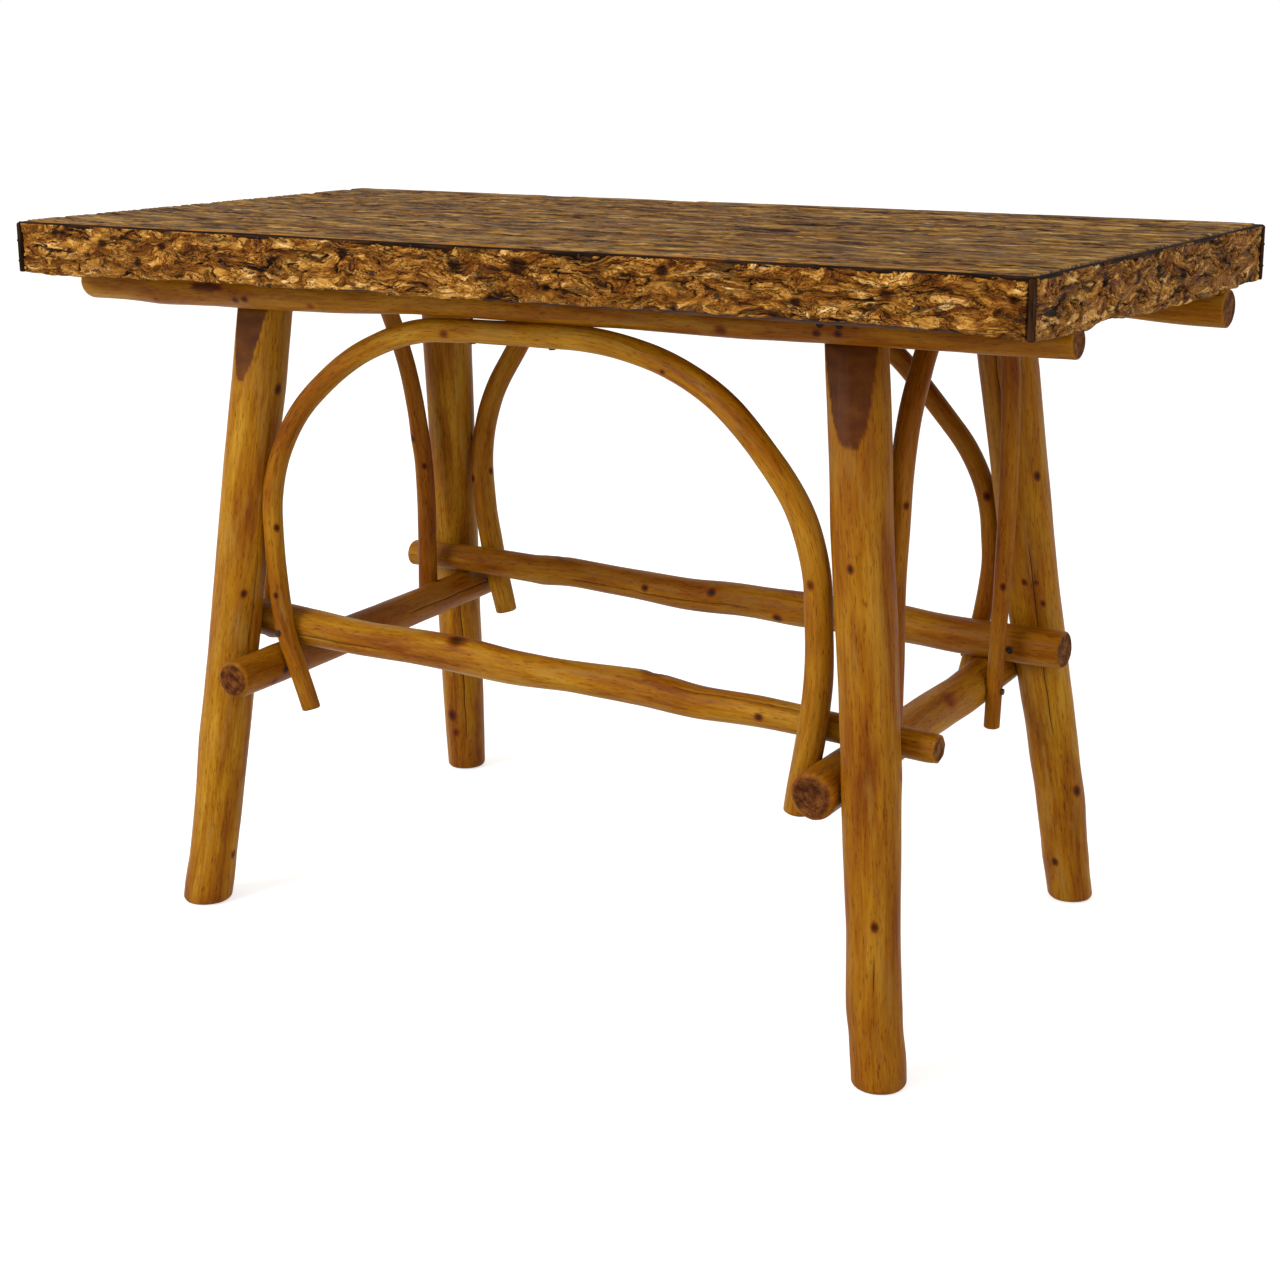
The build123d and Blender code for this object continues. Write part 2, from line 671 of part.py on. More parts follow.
# Battens under them
for batten, x in batten_places.items():
    board(
        f"batten_{batten}",
        (x - BATTEN_WIDTH / 2, -PLANK_Y, UNDERSIDE),
        (x + BATTEN_WIDTH / 2, PLANK_Y, PLANK_UNDER),
    )

# Strips of bark over the planks and aprons
strip_half = APRON_Y / TOP_BARK_STRIPS - BOARD_GAP / 2
for index, place in enumerate(spread(TOP_BARK_STRIPS, 2 * APRON_Y)):
    board(
        f"top_bark_{index + 1}",
        (-APRON_X, place - strip_half, PLANK_TOP),
        (APRON_X, place + strip_half, TABLE_HEIGHT),
    )

# Aprons, edge bark and trims along the front and the back, then along the two ends
for row, back in ROWS.items():
    inner, apron, edge = back * PLANK_Y, back * APRON_Y, back * EDGE_Y
    board(
        f"apron_{row}",
        (-APRON_X, min(inner, apron), UNDERSIDE),
        (APRON_X, max(inner, apron), PLANK_TOP),
    )
    board(
        f"edge_bark_{row}",
        (-APRON_X, min(apron, edge), LONG_BARK_UNDER),
        (APRON_X, max(apron, edge), TRIM_UNDER),
    )
    board(
        f"edge_trim_{row}",
        (-END_X, min(apron, edge), TRIM_UNDER),
        (END_X, max(apron, edge), TABLE_HEIGHT),
        rounded=(0, back, 1),
    )
for side, right in SIDES.items():
    inner, apron, edge = right * PLANK_X, right * APRON_X, right * END_X
    board(
        f"apron_{side}",
        (min(inner, apron), -PLANK_Y, UNDERSIDE),
        (max(inner, apron), PLANK_Y, PLANK_TOP),
    )
    board(
        f"edge_bark_{side}",
        (min(apron, edge), -APRON_Y, UNDERSIDE),
        (max(apron, edge), APRON_Y, TRIM_UNDER),
    )
    board(
        f"edge_trim_{side}",
        (min(apron, edge), -APRON_Y, TRIM_UNDER),
        (max(apron, edge), APRON_Y, TABLE_HEIGHT),
        rounded=(right, 0, 1),
    )
    for row, back in ROWS.items():
        near, far = back * APRON_Y, back * EDGE_Y
        board(
            f"corner_trim_{row}_{side}",
            (min(apron, edge), min(near, far), LONG_BARK_UNDER),
            (max(apron, edge), max(near, far), TRIM_UNDER),
            rounded=(right, back, 0),
        )

# Fasteners, one group to a node
for name, group in fasteners.items():
    with BuildPart() as nail_part:
        for nail in group:
            tip = 3 * nail.shank_radius
            with Locations(nail.plane):
                Cylinder(nail.head_radius, nail.head, align=(*CENTERED, Align.MAX))
                Cylinder(nail.shank_radius, nail.length - tip, align=(*CENTERED, Align.MIN))
            with Locations(nail.plane.offset(nail.length - tip)):
                Cone(nail.shank_radius, nail.shank_radius / 4, tip, align=(*CENTERED, Align.MIN))
    write(nail_part, name)

for name, arch in arches.items():
    print(name, "bend radii", [round(radius) for radius in arch.bend_radii()])
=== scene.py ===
"""A rustic table of peeled hickory poles with a bark-covered top.

Poles, bark and twigs are made here; boards and fasteners keep their CAD shape and get a material.
The floor, the light and the camera follow.
"""

from math import cos, radians, sin

import bmesh
import bpy
import numpy as np
from mathutils import Matrix


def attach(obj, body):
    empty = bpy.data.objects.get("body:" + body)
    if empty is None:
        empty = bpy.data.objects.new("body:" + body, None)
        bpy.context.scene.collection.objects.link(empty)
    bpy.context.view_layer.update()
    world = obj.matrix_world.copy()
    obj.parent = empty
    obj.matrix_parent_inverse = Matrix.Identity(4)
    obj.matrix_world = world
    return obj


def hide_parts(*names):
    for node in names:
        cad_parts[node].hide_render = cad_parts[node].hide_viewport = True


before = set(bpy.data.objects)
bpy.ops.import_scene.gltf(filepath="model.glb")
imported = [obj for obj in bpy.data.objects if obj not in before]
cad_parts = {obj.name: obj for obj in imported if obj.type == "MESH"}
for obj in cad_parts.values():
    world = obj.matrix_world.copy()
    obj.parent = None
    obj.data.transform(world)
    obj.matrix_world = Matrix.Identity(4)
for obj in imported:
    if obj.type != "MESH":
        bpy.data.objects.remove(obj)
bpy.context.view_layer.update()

# Shapes are worked out in millimetres and turned to metres as they become meshes
MM = 0.001

# ---- Seeded noise

random = np.random.default_rng(1925)
SHUFFLE = random.permutation(256)
SLOPES = random.normal(size=(256, 3))
SLOPES /= np.linalg.norm(SLOPES, axis=1)[:, None]
# Brings the noise, which reaches about 0.6 on its own, to about 1
FULL_RANGE = 1.7
# How far apart seeds and octaves lie in the noise, so that no two patterns are alike
SEED_STEP = 17.37
OCTAVE_STEP = 5.13


def noise(points):
    """Smooth noise of about -1 to 1 at (n, 3) points, with lumps about one unit across."""
    cell = np.floor(points).astype(int)
    inside = points - cell
    fade = inside**3 * (inside * (inside * 6 - 15) + 10)
    total = np.zeros(len(points))
    for corner in np.ndindex(2, 2, 2):
        x, y, z = ((cell + corner) & 255).T
        slope = SLOPES[SHUFFLE[(SHUFFLE[(SHUFFLE[x] + y) & 255] + z) & 255]]
        weight = np.where(corner, fade, 1 - fade).prod(axis=1)
        total += weight * ((inside - corner) * slope).sum(axis=1)
    return total * FULL_RANGE


def rows(*columns):
    """Columns of values, or single values, side by side as rows."""
    return np.stack(np.broadcast_arrays(*columns), axis=1).astype(float)


def lumps(points, size, seed, octaves=1):
    """Noise with lumps of the given sizes; each further octave is half as large and half as strong."""
    points = points / np.array(size, float) + seed * SEED_STEP
    total = np.zeros(len(points))
    for octave in range(octaves):
        total += noise(points * 2**octave + octave * OCTAVE_STEP) / 2**octave
    return total


def smooth(low, high, values):
    """0 below low, 1 above high, and a smooth step between."""
    share = np.clip((values - low) / (high - low), 0, 1)
    return share * share * (3 - 2 * share)


# ---- Materials


def paint(colour):
    """An sRGB hex colour as linear red, green, blue and alpha."""
    parts = [int(colour[i : i + 2], 16) / 255 for i in (1, 3, 5)]
    return (*(c / 12.92 if c <= 0.04045 else ((c + 0.055) / 1.055) ** 2.4 for c in parts), 1.0)


def connect(tree, node, inputs):
    """Sets or links a node's inputs, by name or by place among those in use."""
    in_use = [socket for socket in node.inputs if socket.enabled]
    for key, value in inputs.items():
        socket = in_use[key] if isinstance(key, int) else node.inputs[key]
        if isinstance(value, bpy.types.Node):
            value = next(output for output in value.outputs if output.enabled)
        if isinstance(value, bpy.types.NodeSocket):
            tree.links.new(value, socket)
        else:
            socket.default_value = value


def add(tree, kind, inputs=None, settings=None, stops=None):
    """Adds a node with its inputs set or linked, its settings, and its ramp's stops."""
    node = tree.nodes.new("ShaderNode" + kind)
    for name, value in (settings or {}).items():
        setattr(node, name, value)
    for index, (place, colour) in enumerate(stops or ()):
        elements = node.color_ramp.elements
        element = elements[index] if index < 2 else elements.new(place)
        element.position = place
        element.color = paint(colour)
    connect(tree, node, inputs or {})
    return node


def new_material(name):
    """A material with a bare Principled shader, and the tree and shader to work on."""
    made = bpy.data.materials.new(name)
    made.use_nodes = True
    tree = made.node_tree
    tree.nodes.clear()
    shader = add(tree, "BsdfPrincipled")
    add(tree, "OutputMaterial", {"Surface": shader})
    return made, tree, shader


MIX = {"data_type": "RGBA", "clamp_factor": True}
MULTIPLY = {"data_type": "RGBA", "blend_type": "MULTIPLY"}
TIMES_PLUS = {"operation": "MULTIPLY_ADD"}


def stretched(tree, place, scale, detail, roughness=0.5, shift=(0, 0, 0)):
    """Noise drawn out along the grain; a scale is one over the length of a lump in metres."""
    place = add(tree, "Mapping", {"Vector": place, "Location": shift, "Scale": scale})
    fineness = {"Vector": place, "Scale": 1.0, "Detail": detail, "Roughness": roughness}
    return add(tree, "TexNoise", fineness)


def patched(tree, colour, tint, pattern, low, high, most):
    """Mixes a tint into the colour where the pattern rises from low to high, up to a share of most."""
    patch = {"Value": pattern, "From Min": low, "From Max": high, "To Max": most}
    share = add(tree, "MapRange", patch)
    return add(tree, "Mix", {0: share, 1: colour, 2: paint(tint)}, MIX)


def shaded(tree, colour, share, pattern, stops):
    """Darkens a share of the colour by a ramp over the pattern."""
    shade = add(tree, "ValToRGB", {"Fac": pattern}, stops=stops)
    return add(tree, "Mix", {0: share, 1: colour, 2: shade}, MULTIPLY)


def peeled_hickory():
    """Hickory peeled of its bark, under satin varnish: honey brown, with dark flecks along the grain."""
    made, tree, shader = new_material("peeled hickory, varnished")
    grain = add(tree, "Attribute", settings={"attribute_name": "grain"}).outputs["Vector"]
    marks = add(tree, "Attribute", settings={"attribute_name": "marks"}).outputs["Vector"]
    knot, dark, hewn = add(tree, "SeparateXYZ", {"Vector": marks}).outputs
    names = ("end", "tone")
    end, tone = (add(tree, "Attribute", settings={"attribute_name": name}).outputs["Fac"] for name in names)

    # Broad drifts of tone, about 150 mm long and 25 mm wide
    drift = stretched(tree, grain, (6.5, 40, 40), 4.0, 0.6)
    stops = [(0.30, "#824604"), (0.44, "#9A6008"), (0.56, "#AA7410"), (0.70, "#B98826")]
    colour = add(tree, "ValToRGB", {"Fac": drift}, stops=stops)

    # Streaks about 3 mm wide
    streak = stretched(tree, grain, (16, 300, 300), 3.0, 0.55)
    colour = shaded(tree, colour, 0.55, streak, [(0.36, "#CDAA78"), (0.56, "#FFFFFF")])

    # Pores, drawn about 1 mm wide and 10 mm long so that they show
    pore = stretched(tree, grain, (95, 800, 800), 2.0, 0.5)
    colour = shaded(tree, colour, 0.7, pore, [(0.30, "#9A7648"), (0.44, "#FFFFFF")])

    # Tan inner bark left in patches by the drawknife
    left = stretched(tree, grain, (11, 60, 60), 5.0, 0.65, shift=(3.1, 1.7, 0.4))
    colour = patched(tree, colour, "#A9823A", left, 0.52, 0.68, 0.5)

    # Knots: grey-brown eyes in a paler brown ring
    stops = [(0.04, "#FFFFFF"), (0.30, "#D8B080"), (0.62, "#8A7460"), (0.95, "#4E4640")]
    colour = shaded(tree, colour, 1.0, knot, stops)

    # Hewn faces are dark brown, and blotched across the strokes of the knife
    scratch = stretched(tree, grain, (60, 30, 30), 3.0)
    stops = [(0.3, "#4C2608"), (0.5, "#5C300A"), (0.72, "#6C3E12")]
    cut = add(tree, "ValToRGB", {"Fac": scratch}, stops=stops)
    colour = add(tree, "Mix", {0: hewn, 1: colour, 2: cut}, MIX)

    # Sawn ends show faint growth rings about 3 mm apart, wavy and stained
    across = add(tree, "SeparateXYZ", {"Vector": grain})
    flat = add(tree, "CombineXYZ", {"Y": across.outputs["Y"], "Z": across.outputs["Z"]})
    radius = add(tree, "VectorMath", {0: flat}, {"operation": "LENGTH"}).outputs["Value"]
    wobble = add(tree, "TexNoise", {"Vector": flat, "Scale": 90.0, "Detail": 3.0})
    rings = add(tree, "Math", {0: wobble, 1: 0.014, 2: radius}, TIMES_PLUS)
    rings = add(tree, "Math", {0: rings, 1: 2000.0}, {"operation": "MULTIPLY"})
    rings = add(tree, "Math", {0: rings}, {"operation": "SINE"})
    stain = add(tree, "TexNoise", {"Vector": grain, "Scale": 110.0, "Detail": 4.0, "Roughness": 0.6})
    stain = add(tree, "Math", {0: rings, 1: 0.035, 2: stain}, TIMES_PLUS)
    stops = [(0.36, "#3E200C"), (0.50, "#62391A"), (0.66, "#8A5A2C")]
    sawn = add(tree, "ValToRGB", {"Fac": stain}, stops=stops)
    colour = add(tree, "Mix", {0: end, 1: colour, 2: sawn}, MIX)

    colour = add(tree, "Mix", {0: tone, 1: colour, 2: paint("#DDC8A0")}, MULTIPLY)
    # Season checks are painted near black, as shade deep in the crack
    colour = add(tree, "Mix", {0: dark, 1: colour, 2: paint("#241004")}, MIX)

    height = add(tree, "Math", {0: streak, 1: 2.0, 2: pore}, TIMES_PLUS)
    bump = add(tree, "Bump", {"Strength": 0.5, "Distance": 0.0003, "Height": height})
    gloss = {"Value": streak, "From Min": 0.3, "From Max": 0.7, "To Min": 0.38, "To Max": 0.55}
    rough = add(tree, "MapRange", gloss)
    rough = add(tree, "Math", {0: end, 1: 0.3, 2: rough}, TIMES_PLUS)
    look = {"Base Color": colour, "Roughness": rough, "Normal": bump, "IOR": 1.5, "Specular IOR Level": 0.08}
    connect(tree, shader, look)
    return made


def ridged_bark():
    """Hickory bark split thin, under the same varnish: grey-brown ridges with golden fibres."""
    made, tree, shader = new_material("ridged bark")
    place = add(tree, "TexCoord").outputs["Object"]
    relief = add(tree, "Attribute", settings={"attribute_name": "relief"}).outputs["Fac"]

    # Fibres 60 to 120 mm long, in bands up to 7 mm wide that split finer and finer
    fibre = stretched(tree, place, (12, 180, 60), 5.0, 0.7)
    stops = [(0.36, "#120801"), (0.43, "#432608"), (0.49, "#6C481B"), (0.56, "#926A2E"), (0.66, "#C0974E")]
    colour = add(tree, "ValToRGB", {"Fac": fibre}, stops=stops)

    # Patches of weathered grey and of red-brown, about 150 mm long and 20 mm wide
    weathered = stretched(tree, place, (6, 48, 20), 6.0, 0.68, shift=(0.3, 0.7, 0))
    colour = patched(tree, colour, "#665238", weathered, 0.48, 0.60, 0.45)
    red = stretched(tree, place, (8, 52, 20), 6.0, 0.7, shift=(2.3, 0.4, 0))
    colour = patched(tree, colour, "#62360E", red, 0.53, 0.64, 0.55)

    # Golden scuffs about 35 mm long and 5 mm wide, most of them along the front edge, where the extra ones
    # are a painted highlight
    gold = stretched(tree, place, (28, 200, 60), 5.0, 0.7, shift=(1.3, 0.2, 0))
    y = add(tree, "SeparateXYZ", {"Vector": place}).outputs["Y"]
    # More gold towards the front edge, as a painted highlight
    front_highlight = {"Value": y, "From Min": -0.258, "From Max": -0.278, "To Max": 0.12}
    front_highlight = add(tree, "MapRange", front_highlight)
    gold = add(tree, "Math", {0: gold, 1: front_highlight})
    colour = patched(tree, colour, "#A87028", gold, 0.58, 0.66, 0.75)

    # The crevices between the ridges are darkened nearly to black by the relief, as painted shade
    colour = shaded(tree, colour, 1.0, relief, [(0.12, "#2A1A0C"), (0.36, "#C8B8A0"), (0.60, "#FFFFFF")])

    bump = add(tree, "Bump", {"Strength": 0.8, "Distance": 0.0015, "Height": fibre})
    look = {"Base Color": colour, "Roughness": 0.55, "Normal": bump, "IOR": 1.5, "Specular IOR Level": 0.1}
    connect(tree, shader, look)
    return made


def flaky_bark():
    """Thick hickory bark for the edges: golden flakes in thin layers over red-brown, with painted shade
    darkening its cracks, hollows and layer edges.
    """
    made, tree, shader = new_material("flaky bark")
    flow = add(tree, "Attribute", settings={"attribute_name": "grain"}).outputs["Vector"]
    names = ("relief", "cracks_and_shade", "knot")
    stored = [add(tree, "Attribute", settings={"attribute_name": name}) for name in names]
    relief, cracks_and_shade, knot = (node.outputs["Fac"] for node in stored)

    # Plates about 40 mm long and 10 mm high, from red-brown over golden to pale
    plate = stretched(tree, flow, (22, 74, 1), 7.0, 0.7)
    stops = [
        (0.35, "#200D04"), (0.42, "#60340E"), (0.48, "#935B1A"),
        (0.53, "#BB8434"), (0.59, "#DEA754"), (0.67, "#FFDA98"),
    ]
    colour = add(tree, "ValToRGB", {"Fac": plate}, stops=stops)

    # Patches of red-brown and of cold dark brown, about 70 mm long and 20 mm high
    red = stretched(tree, flow, (13, 38, 1), 6.0, 0.68, shift=(3.3, 1.1, 0))
    colour = patched(tree, colour, "#84500F", red, 0.52, 0.58, 0.65)
    cold = stretched(tree, flow, (16, 50, 1), 6.0, 0.7, shift=(0.5, 2.9, 0))
    colour = patched(tree, colour, "#452E14", cold, 0.57, 0.63, 0.8)

    # The edges of thin layers, as short wavy dark lines of painted shadow: broad ones, and fine ones between
    # them
    layer_edge_shadow = [(0.0, "#2E1808"), (0.10, "#7A5434"), (0.20, "#D8BC98"), (0.42, "#FFFFFF")]
    for place, scale, steps in ((1.9, (20, 70, 1), 15.0), (7.3, (46, 150, 1), 8.0)):
        layer = stretched(tree, flow, scale, 5.0, 0.62, shift=(place, 0.7, 0))
        lines = add(tree, "Math", {0: layer, 1: steps}, {"operation": "MULTIPLY"})
        lines = add(tree, "Math", {0: lines}, {"operation": "FRACT"})
        some = stretched(tree, flow, (12, 36, 1), 3.0, shift=(place, 3.2, 0))
        spread = {"Value": some, "From Min": 0.38, "From Max": 0.56, "To Min": 0.2}
        some = add(tree, "MapRange", spread)
        colour = shaded(tree, colour, some, lines, layer_edge_shadow)

    # Hollows of the relief are darkened as painted shade
    colour = shaded(tree, colour, 0.9, relief, [(0.08, "#2E1C10"), (0.34, "#FFFFFF")])
    colour = shaded(tree, colour, 1.0, knot, [(0.2, "#FFFFFF"), (0.5, "#B09A84"), (0.85, "#625244")])
    # Cracks and the feet of the layers are painted near black, as shade in them
    colour = add(tree, "Mix", {0: cracks_and_shade, 1: colour, 2: paint("#160B04")}, MIX)

    height = add(tree, "Math", {0: lines, 1: 0.35, 2: plate}, TIMES_PLUS)
    bump = add(tree, "Bump", {"Strength": 0.7, "Distance": 0.002, "Height": height})
    look = {"Base Color": colour, "Roughness": 0.55, "Normal": bump, "IOR": 1.5, "Specular IOR Level": 0.05}
    connect(tree, shader, look)
    return made


def bark_twig():
    """Thin twigs split in half with their bark on: dark grey-brown, scuffed to orange-brown."""
    made, tree, shader = new_material("twig with its bark")
    grain = add(tree, "Attribute", settings={"attribute_name": "grain"}).outputs["Vector"]

    # Streaks about 40 mm long and 3 mm wide, and longer scuffs
    streak = stretched(tree, grain, (26, 330, 330), 5.0, 0.65)
    stops = [(0.36, "#0C0602"), (0.50, "#1E1007"), (0.60, "#342010"), (0.74, "#4E341C")]
    colour = add(tree, "ValToRGB", {"Fac": streak}, stops=stops)
    scuff = stretched(tree, grain, (9, 110, 110), 4.0, 0.6, shift=(4.3, 0, 0))
    colour = patched(tree, colour, "#5A3210", scuff, 0.56, 0.66, 0.5)
    bump = add(tree, "Bump", {"Strength": 0.7, "Distance": 0.0008, "Height": streak})
    look = {"Base Color": colour, "Roughness": 0.7, "Normal": bump, "IOR": 1.5, "Specular IOR Level": 0.05}
    connect(tree, shader, look)
    return made


def rough_pine(name, turn, stain):
    """Pine boards rough from the saw: tan gone brown with age, saw marks across the grain, and a stain."""
    made, tree, shader = new_material(name)
    place = add(tree, "TexCoord").outputs["Object"]
    along = add(tree, "Mapping", {"Vector": place, "Rotation": (0, 0, turn)})

    # Grain about 140 mm long and 9 mm wide, and saw marks about 2.5 mm apart
    grain = stretched(tree, along, (7, 110, 110), 5.0, 0.6)
    connect(tree, grain, {"Distortion": 0.4})
    stops = [(0.30, "#5E3F22"), (0.48, "#8A6338"), (0.60, "#A67E4C"), (0.75, "#B8945F")]
    colour = add(tree, "ValToRGB", {"Fac": grain}, stops=stops)
    saw = stretched(tree, along, (420, 14, 14), 2.0)
    colour = shaded(tree, colour, 0.6, saw, [(0.35, "#C4B4A0"), (0.6, "#FFFFFF")])
    colour = add(tree, "Mix", {0: 1.0, 1: colour, 2: paint(stain)}, MULTIPLY)
    bump = add(tree, "Bump", {"Strength": 0.4, "Distance": 0.0006, "Height": saw})
    connect(tree, shader, {"Base Color": colour, "Roughness": 0.72, "Normal": bump, "IOR": 1.5})
    return made


def old_steel(name, bright, rust):
    """Plain steel of wire nails and screws, dulled and rusty."""
    made, tree, shader = new_material(name)
    place = add(tree, "TexCoord").outputs["Object"]

    # Rust in patches about 2 mm across
    patch = add(tree, "TexNoise", {"Vector": place, "Scale": 420.0, "Detail": 4.0, "Roughness": 0.65})
    spread = add(tree, "MapRange", {"Value": patch, "From Min": 0.42, "From Max": 0.60})
    colour = add(tree, "Mix", {0: spread, 1: paint(bright), 2: paint(rust)}, MIX)
    metal = add(tree, "MapRange", {"Value": spread, "To Min": 1.0, "To Max": 0.3})
    rough = add(tree, "MapRange", {"Value": spread, "To Min": 0.38, "To Max": 0.75})
    bump = add(tree, "Bump", {"Strength": 0.4, "Distance": 0.0002, "Height": patch})
    connect(tree, shader, {"Base Color": colour, "Metallic": metal, "Roughness": rough, "Normal": bump})
    return made


# ---- Pieces

HICKORY = peeled_hickory()
TOP_BARK = ridged_bark()
EDGE_BARK = flaky_bark()
TWIG = bark_twig()
BARE = "#FFFFFF"
BROWN_STAIN = "#7A5638"
PINE_ALONG = rough_pine("rough pine, grain along the table", 0, BARE)
PINE_ACROSS = rough_pine("rough pine, grain across the table", radians(90), BARE)
STAINED_ALONG = rough_pine("brown-stained pine, grain along the table", 0, BROWN_STAIN)
STAINED_ACROSS = rough_pine("brown-stained pine, grain across the table", radians(90), BROWN_STAIN)
NAIL_STEEL = old_steel("old nail steel", "#352E2A", "#2C1A12")
TACK_STEEL = old_steel("rusted tack steel", "#33200F", "#2E1A0C")
SCREW_STEEL = old_steel("zinc screw steel, dulled", "#8E8C86", "#5E4A3A")


def mesh_from(bm, name):
    """A new mesh from a bmesh, which is freed."""
    mesh = bpy.data.meshes.new(name)
    bm.to_mesh(mesh)
    bm.free()
    return mesh


def in_scene(name, data):
    """A new object in the scene, for a mesh, a lamp or a camera."""
    made = bpy.data.objects.new(name, data)
    bpy.context.scene.collection.objects.link(made)
    return made


def finished(mesh, name, material):
    """Makes a mesh a piece of the table that rides on its one body and stands for the node of its name."""
    mesh.materials.append(material)
    mesh.shade_smooth()
    piece = in_scene(name + "_finish", mesh)
    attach(piece, "root")
    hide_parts(name)


def mark(mesh, name, values):
    """Stores one value or vector for each point of a mesh."""
    kind, field = ("FLOAT_VECTOR", "vector") if values.ndim == 2 else ("FLOAT", "value")
    attribute = mesh.attributes.new(name, kind, "POINT")
    attribute.data.foreach_set(field, np.asarray(values, np.float32).ravel())


def points_of(mesh):
    """A mesh's points as rows of x, y and z."""
    flat = np.zeros(len(mesh.vertices) * 3, np.float32)
    mesh.vertices.foreach_get("co", flat)
    return flat.reshape(-1, 3).astype(float)


def move_points(mesh, points):
    """Moves a mesh's points to places given in millimetres."""
    mesh.vertices.foreach_set("co", (points * MM).astype(np.float32).ravel())
    mesh.update()


# ---- Poles

# Rings of points close together at each end of a pole, and the length they take up
END_RINGS = 7
END_REACH = 9.0
FEWEST_RINGS = 8
# Points this close to an end belong to its sawn face
END_FACE = 0.3
# How far apart in the grain two poles start, in metres
GRAIN_STEP = 0.731
# Rings across each end, each one this share of the radius further in
CAP_INSETS = (0.04, 0.08, 0.12, 0.16, 0.2, 0.2)
# Where a branch bends, the arc takes up this share of the shorter run beside it
BEND_SHARE = 0.45
# The lengths over which the sway is smoothed to each side, and a check closes at each end
SWAY_BLUR = 28
CHECK_END = 30
# How much longer than wide a knot's eye and its collar are, and how much wider the collar is
EYE_STRETCH = 1.35
COLLAR_STRETCH = 2.4
COLLAR_WIDTH = 1.9
# A pole's unevenness: the size of its lumps, their height, and their seed's step
UNEVEN = (((150, 34, 34), 0.9, 0), ((46, 15, 15), 0.35, 3), ((90, 5, 5), 0.14, 7))


def closed_tube(segments, rings):
    """A closed tube of radius 1 and height 1, with rings up its side and across both ends."""
    bm = bmesh.new()
    bmesh.ops.create_cone(bm, cap_ends=True, segments=segments, radius1=1, radius2=1, depth=1)
    bmesh.ops.translate(bm, verts=bm.verts, vec=(0, 0, 0.5))
    sides = [edge for edge in bm.edges if abs(edge.verts[0].co.z - edge.verts[1].co.z) > 0.5]
    bmesh.ops.subdivide_edges(bm, edges=sides, cuts=rings - 1, use_grid_fill=True)
    for face in [face for face in bm.faces if len(face.verts) == segments]:
        for inset in CAP_INSETS:
            bmesh.ops.inset_region(bm, faces=[face], thickness=inset, use_even_offset=True)
        bmesh.ops.poke(bm, faces=[face])
    return mesh_from(bm, "tube")


def straight(start, end, bows=()):
    """Points along a straight pole, with any bow given as (share of the length, width of it, offset)."""
    start, end = np.array(start, float), np.array(end, float)
    share = np.linspace(0, 1, 600)[:, None]
    line = start + (end - start) * share
    for middle, width, offset in bows:
        line += np.exp(-(((share - middle) / width) ** 2)) * np.array(offset, float)
    return line


def bent(origin, heading, upwards, corners):
    """Points along a branch bent in one plane: straight runs between its corners, joined by wide arcs."""
    corners = [np.array(corner, float) for corner in corners]
    flat = [corners[0]]
    for before, corner, after in zip(corners, corners[1:], corners[2:]):
        shorter = min(np.linalg.norm(corner - before), np.linalg.norm(after - corner))
        coming = (corner - before) / np.linalg.norm(corner - before)
        going = (after - corner) / np.linalg.norm(after - corner)
        reach = BEND_SHARE * shorter
        for share in np.linspace(0, 1, 60):
            # A quadratic curve, tangent to both runs
            first = corner - coming * reach * (1 - share)
            second = corner + going * reach * share
            flat.append(first + (second - first) * share)
    flat.append(corners[-1])
    flat = np.array(flat)
    return np.array(origin) + flat[:, :1] * np.array(heading) + flat[:, 1:] * np.array(upwards)


def sampled(values, places, at):
    """Vectors known at some places along a line, read off at others."""
    return np.stack([np.interp(at, places, values[:, axis]) for axis in range(3)], axis=1)


def evenly(line):
    """The same line with its points about a millimetre apart, and how far along it each one is."""
    lengths = np.r_[0, np.cumsum(np.linalg.norm(np.diff(line, axis=0), axis=1))]
    places = np.linspace(0, lengths[-1], int(lengths[-1]) + 1)
    return sampled(line, lengths, places), places


def angle_between(turn, middle):
    """The angle from middle to turn, between minus and plus half a turn."""
    return (turn - middle + np.pi) % (2 * np.pi) - np.pi


def directions(line, facing, upright):
    """At each point of a line, three directions: along it, across it towards facing, and across both."""
    tangents = np.gradient(line, axis=0)
    tangents /= np.linalg.norm(tangents, axis=1)[:, None]
    if upright:
        tangents[:] = (0, 0, 1)
    first = np.array(facing) - tangents * (tangents @ np.array(facing))[:, None]
    first /= np.linalg.norm(first, axis=1)[:, None]
    return tangents, first, np.cross(tangents, first)


def strayed(line, places, sideways, sway):
    """The line moved sideways by its smoothed sway."""
    stray = np.pad(np.interp(places, *zip(*sway)), SWAY_BLUR, mode="edge")
    blur = np.hanning(2 * SWAY_BLUR + 3)[1:-1]
    return line + sideways * np.convolve(stray, blur / blur.sum(), mode="valid")[:, None]


def opened(checks, along, turn, radius, rim, spacing, seed):
    """Draws columns of points together where season checks run, and says how deep they are and how dark
    their painted shade is.
    """
    depth = np.zeros(len(turn))
    dark = np.zeros(len(turn))
    for start, stop, middle, width, deep in checks:
        column = round(radians(middle) / spacing) * spacing
        wander = noise(rows(along / 45, middle, seed)) * spacing * 0.9
        away = angle_between(turn, column)
        near = np.exp(-((away / (spacing * 5)) ** 2))
        opening = smooth(start, start + CHECK_END, along) * (1 - smooth(stop - CHECK_END, stop, along))
        opening *= 0.75 + 0.25 * noise(rows(along / 18, 4.2, seed))
        opening = np.clip(opening, 0, 1)
        step_away = np.round(away / spacing)
        half_open = (width / 2 / radius - spacing) * np.sign(opening)
        turn = turn + near * wander + (np.abs(step_away) == 1) * np.sign(step_away) * half_open
        depth += (step_away == 0) * opening * (rim > 0.97) * deep
        dark = np.maximum(dark, (step_away == 0) * smooth(0, 0.4, opening))
    return turn, depth, dark


